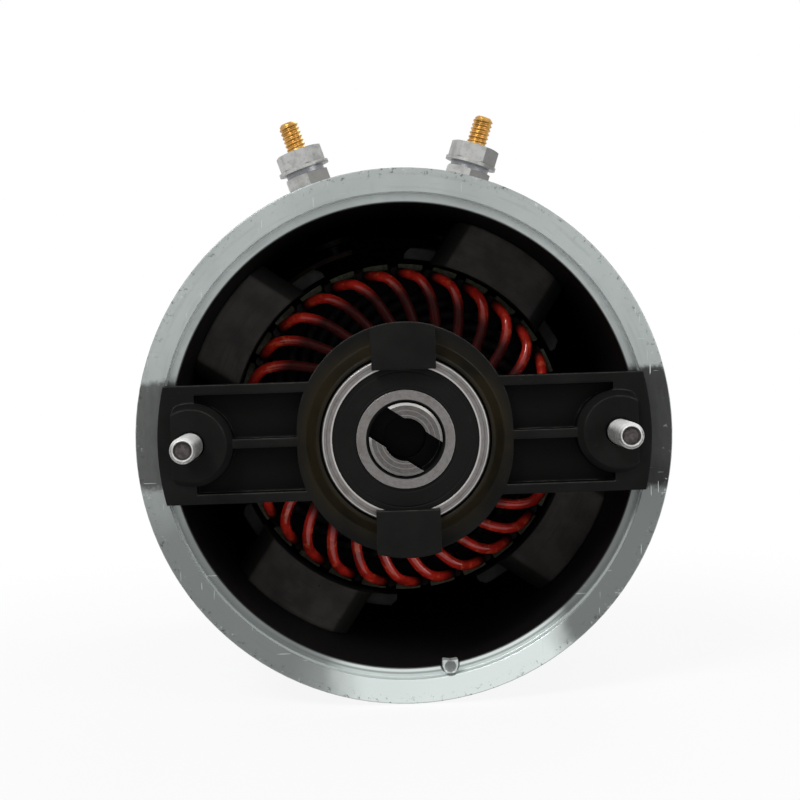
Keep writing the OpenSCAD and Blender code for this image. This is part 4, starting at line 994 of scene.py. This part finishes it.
class MOTOR_OT_bearings(bpy.types.Operator):
    """Finish both ball bearings and the wave washer"""

    bl_idname = "motor.bearings"
    bl_label = "Bearings"

    def execute(self, context):
        colours = context.scene.motor_colours
        put_on(
            ground_steel(colours), "front_bearing_outer_ring", "front_bearing_inner_ring",
            "rear_bearing_outer_ring", "rear_bearing_inner_ring",
        )
        put_on(ground_steel(colours, "ball_steel", 2.8, 0.4), "front_bearing_balls", "rear_bearing_balls")
        put_on(ground_steel(colours, "cage_steel", 1.6, 0.3), "front_bearing_cage", "rear_bearing_cage")
        put_on(seal_rubber(), "front_bearing_seals", "rear_bearing_seals")
        put_on(spring_steel(), "wave_washer")
        return {"FINISHED"}


class MOTOR_OT_shaft(bpy.types.Operator):
    """Finish the shaft and its spacer"""

    bl_idname = "motor.shaft"
    bl_label = "Shaft"

    def execute(self, context):
        steel = ground_steel(context.scene.motor_colours, "shaft_steel", 0.62, 0.22)
        put_on(steel, "shaft", "shaft_spacer")
        return {"FINISHED"}


class MOTOR_OT_core(bpy.types.Operator):
    """Finish the armature core, its end laminations and the band"""

    bl_idname = "motor.core"
    bl_label = "Armature core"

    def execute(self, context):
        put_on(core_sheets(), "armature_core")
        tooth_tips = CORE_RADIUS - 1.5
        ends = insulating_fibre("end_fibre", (0.085, 0.085, 0.06), (0.15, 0.15, 0.115), tooth_tips)
        put_on(ends, "core_end_plates")
        put_on(insulating_fibre("band_resin", (0.36, 0.25, 0.12), (0.5, 0.38, 0.2)), "winding_band")
        return {"FINISHED"}


class MOTOR_OT_winding(bpy.types.Operator):
    """Wind the armature with round enamelled wire, one coil for each pair of slots"""

    bl_idname = "motor.winding"
    bl_label = "Winding"

    def execute(self, context):
        colours, sizes = context.scene.motor_colours, context.scene.motor_sizes
        winding = Solid()
        for n in range(SLOTS):
            path = [around(a + n * SLOT_PITCH + SLOT_TURN, r, h) for a, r, h in coil_points()]
            winding.tube(smooth_path(path, 3), sizes.wire_diameter / MM / 2)
        add_piece("wound_coils", winding, wire_enamel(colours), "rotor", "enamel_red", "armature_winding")
        return {"FINISHED"}


def coil_points():
    """Angle, radius and height of one coil's wire, from riser to riser, as the CAD part has them."""
    core_front, core_rear, riser_front, riser_r = -46.0, -96.0, -113.6, 28.0
    end_plate, wire, slot_mouth, slot_depth = 1.0, 2.5, 1.2, 9.2
    top_r = CORE_RADIUS - slot_mouth - wire / 2 - 0.05
    low_r = CORE_RADIUS - slot_depth + wire / 2 + 0.2
    nose_r, nose_turn, lower_turn, involute_r = 20.4, 28.0, 38.8, 15.5
    face = core_front + end_plate
    crown_top, low_layer = -CROWN_FRONT - wire / 2, face + wire / 2 + 1.6
    upper_lead = riser_r - wire / 2 - 0.4
    lower_lead = upper_lead - wire - 1.3
    sweep = COIL_PITCH / 2 - SLOT_PITCH / 2
    lead_foot = riser_front + 1.5

    def mix(a, b, t):
        return a + (b - a) * t

    def involute(r):
        return math.degrees(math.sqrt((r / involute_r) ** 2 - 1) - math.acos(involute_r / r))

    def lead(start, run, foot_r, lead_r, hurry):
        """Points of a wire's end behind the core, from the core towards its riser."""
        return [
            (start + run * t * t * (3 - 2 * t), mix(foot_r, lead_r, min(1, t * hurry)),
             mix(core_rear - end_plate, lead_foot, t ** 0.9))
            for t in (i / 6 for i in range(7))
        ]

    points = [(-sweep, upper_lead, riser_front), *reversed(lead(0, -sweep, top_r, upper_lead, 1))]
    crown = (
        (0, 0, 0), (1.4, 0, 0.3), (4.8, 0.01, 0.66), (9.6, 0.065, 0.9), (13.6, 0.2, 0.99),
        (17.2, 0.38, 1), (20.4, 0.57, 0.97), (23.8, 0.75, 0.92), (nose_turn, 0.93, 0.82),
    )
    points += [(-a, mix(top_r, nose_r, r), mix(face, crown_top, h)) for a, r, h in crown]
    points.append((-mix(nose_turn, lower_turn, 0.45), nose_r, mix(crown_top, low_layer, 0.5)))
    points.append((-lower_turn, nose_r + 0.1, mix(crown_top, low_layer, 0.9)))
    scale = (COIL_PITCH - lower_turn) / (involute(low_r) - involute(nose_r))
    for t in (0.25, 0.5, 0.75, 0.93):
        r = mix(nose_r, low_r, t)
        points.append((-lower_turn - scale * (involute(r) - involute(nose_r)), r, low_layer))
    points.append((-COIL_PITCH + 0.6, low_r - 0.2, mix(low_layer, core_front, 0.4)))
    points.append((-COIL_PITCH, low_r, core_front))
    points += lead(-COIL_PITCH, sweep, low_r, lower_lead, 1.2)
    return points + [(-COIL_PITCH + sweep, lower_lead, riser_front)]


class MOTOR_OT_commutator(bpy.types.Operator):
    """Finish the commutator, the brushes, their boxes, springs, leads and plate"""

    bl_idname = "motor.commutator"
    bl_label = "Commutator and brushes"

    def execute(self, context):
        colours = context.scene.motor_colours
        copper = yellow_metal("turned_copper", tint(colours.copper, 0.85), tint(colours.copper, 0.4))
        braid = yellow_metal("lead_copper", colours.copper, tint(colours.copper, 0.6))
        brass = yellow_metal("box_brass", colours.brass, tint(colours.brass, 0.7))
        put_on(copper, "commutator_bars")
        put_on(braid, "brush_leads")
        put_on(brass, "brush_boxes")
        put_on(insulating_fibre("hub_resin", (0.05, 0.022, 0.012), (0.08, 0.035, 0.02)), "commutator_hub")
        put_on(insulating_fibre("plate_fibre", (0.16, 0.09, 0.045), (0.24, 0.14, 0.07)), "brush_plate")
        put_on(pressed_carbon(), *[f"brush_{k}" for k in range(1, 5)])
        steel = spring_steel()
        for k in range(1, 5):
            self.wind_spring(k, steel)
        return {"FINISHED"}

    @staticmethod
    def wind_spring(k, steel):
        """Winds the pressure spring of a brush."""
        node, joint = f"brush_spring_{k}", f"brush_{k}_slide"
        slide = next(j for j in frame["record"]["behaviour"]["joints"] if j["name"] == joint)
        outwards = Vector(slide["axis"]).normalized()
        across = Vector((-outwards.z, 0, outwards.x))
        low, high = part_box(node)
        backwards = Vector((0, 1, 0))
        depth = backwards * (low.y + high.y) / 2 / MM
        foot, head, wire, coil_radius, turns, points = 37.05, 46.0, 0.8, 2.4, 4, 64
        path = []
        for share in (i / points for i in range(points + 1)):
            turn = 2 * math.pi * turns * share
            along = foot + wire / 2 + (head - foot - wire) * share
            side = across * math.cos(turn) - backwards * math.sin(turn)
            path.append(outwards * along + depth + coil_radius * side)
        coil = Solid()
        coil.tube(path, wire / 2, 10)
        piece = add_piece(f"wound_spring_{k}", coil, steel, "frame", "spring_steel", node)
        span, travel, spare = head - foot, slide["range_m"][1] / MM, 0.005
        (span - travel) / span - spare
        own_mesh(piece)


class MOTOR_OT_stage(bpy.types.Operator):
    """Lay the floor, hang the lights and set up the camera"""

    bl_idname = "motor.stage"
    bl_label = "Stage"

    def execute(self, context):
        scene = context.scene
        stage = scene.motor_stage
        level, half = CAD_BOX[0][2] - 0.0002, 6.0
        corners = [(x * half, y * half, level) for x, y in ((-1, -1), (1, -1), (1, 1), (-1, 1))]
        data = bpy.data.meshes.new("floor")
        data.from_pydata(corners, [], [(0, 1, 2, 3)])
        floor = bpy.data.objects.new("floor", data)
        scene.collection.objects.link(floor)
        data.materials.append(floor_paper())
        self.light_room(scene, stage.room_light)
        self.hang("main_light", (-0.5, -0.85, 0.85), (0, 0, 0), stage.key_power, 0.4)
        self.hang("fill_light", (0.95, -0.75, 0.35), (0, 0, 0), stage.fill_power, 0.6)
        self.hang("back_light", (0.35, 0.9, 0.9), (0, 0.08, 0), stage.fill_power, 0.6)
        camera = bpy.data.objects.new("camera", bpy.data.cameras.new("camera"))
        camera.data.sensor_width = 36
        camera.data.lens = stage.lens
        camera.data.clip_start = 0.01
        camera.location = stage.camera_place
        camera.rotation_euler = stage.camera_turn
        scene.collection.objects.link(camera)
        scene.camera = camera
        scene.view_settings.view_transform = "Standard"
        return {"FINISHED"}

    @staticmethod
    def hang(name, place, target, power, size):
        """Hangs a square light that looks at the motor."""
        lamp = bpy.data.lights.new(name, "AREA")
        lamp.energy = power
        lamp.size = size
        light = bpy.data.objects.new(name, lamp)
        light.location = place
        light.rotation_euler = (Vector(place) - Vector(target)).to_track_quat("Z", "Y").to_euler()
        bpy.context.scene.collection.objects.link(light)

    @staticmethod
    def light_room(scene, strength):
        """Even light from all sides, and plain white where the camera and gloss look past the motor."""
        world = bpy.data.worlds.new("room")
        world.use_nodes = True
        world.node_tree.nodes.clear()
        scene.world = world
        room = Nodes(world.node_tree)
        dim, white = (
            room.node("ShaderNodeBackground", None, {"Color": (1, 1, 1, 1), "Strength": level})
            for level in (strength, 1.0)
        )
        mixed = room.node("ShaderNodeMixShader", None, {0: room.seen(), 1: dim, 2: white})
        room.link(mixed, "ShaderNodeOutputWorld", "Surface")


def floor_paper():
    """White paper that keeps the motor's shadow and melts into the white room further out."""
    look = Finish("floor_paper", (0.9, 0.9, 0.9)).close(Roughness=0.9, Specular_IOR_Level=0.1)
    out = (look.x * look.x + look.depth * look.depth) ** 0.5
    away = 0.88 + 0.12 * look.step(out, 100.0, 330.0)
    glow = look.node("ShaderNodeEmission", None, {"Color": (1, 1, 1, 1), "Strength": 1.0})
    paper = Flow(look, look.shader.outputs[0])
    mixed = look.node("ShaderNodeMixShader", None, {0: away * look.seen(), 1: paper, 2: glow})
    look.link(mixed, "ShaderNodeOutputMaterial", "Surface")
    return look.material


class MOTOR_PT_parts(bpy.types.Panel):
    """Lists the motor's pieces and the sizes and colours behind them"""

    bl_idname = "MOTOR_PT_parts"
    bl_label = "Motor"
    bl_space_type = "VIEW_3D"
    bl_region_type = "UI"
    bl_category = "Motor"

    def draw(self, context):
        layout = self.layout
        for operator in OPERATORS:
            layout.operator(operator.bl_idname)
        for group in (context.scene.motor_sizes, context.scene.motor_colours, context.scene.motor_stage):
            box = layout.box()
            for name in group.bl_rna.properties.keys():
                if name not in ("rna_type", "name"):
                    box.prop(group, name)


OPERATORS = (
    MOTOR_OT_yoke, MOTOR_OT_castings, MOTOR_OT_bolts, MOTOR_OT_terminals, MOTOR_OT_field,
    MOTOR_OT_bearings, MOTOR_OT_shaft, MOTOR_OT_core, MOTOR_OT_winding, MOTOR_OT_commutator,
    MOTOR_OT_stage,
)
GROUPS = {"motor_sizes": MotorSizes, "motor_colours": MotorColours, "motor_stage": MotorStage}


def register():
    for group in GROUPS.values():
        bpy.utils.register_class(group)
    for name, group in GROUPS.items():
        setattr(bpy.types.Scene, name, PointerProperty(type=group))
    for part in (*OPERATORS, MOTOR_PT_parts):
        bpy.utils.register_class(part)


def unregister():
    for part in (MOTOR_PT_parts, *reversed(OPERATORS)):
        bpy.utils.unregister_class(part)
    for name, group in GROUPS.items():
        delattr(bpy.types.Scene, name)
        bpy.utils.unregister_class(group)


def main():
    register()
    for operator in OPERATORS:
        family, name = operator.bl_idname.split(".")
        getattr(getattr(bpy.ops, family), name)()


if __name__ == "__main__":
    main()
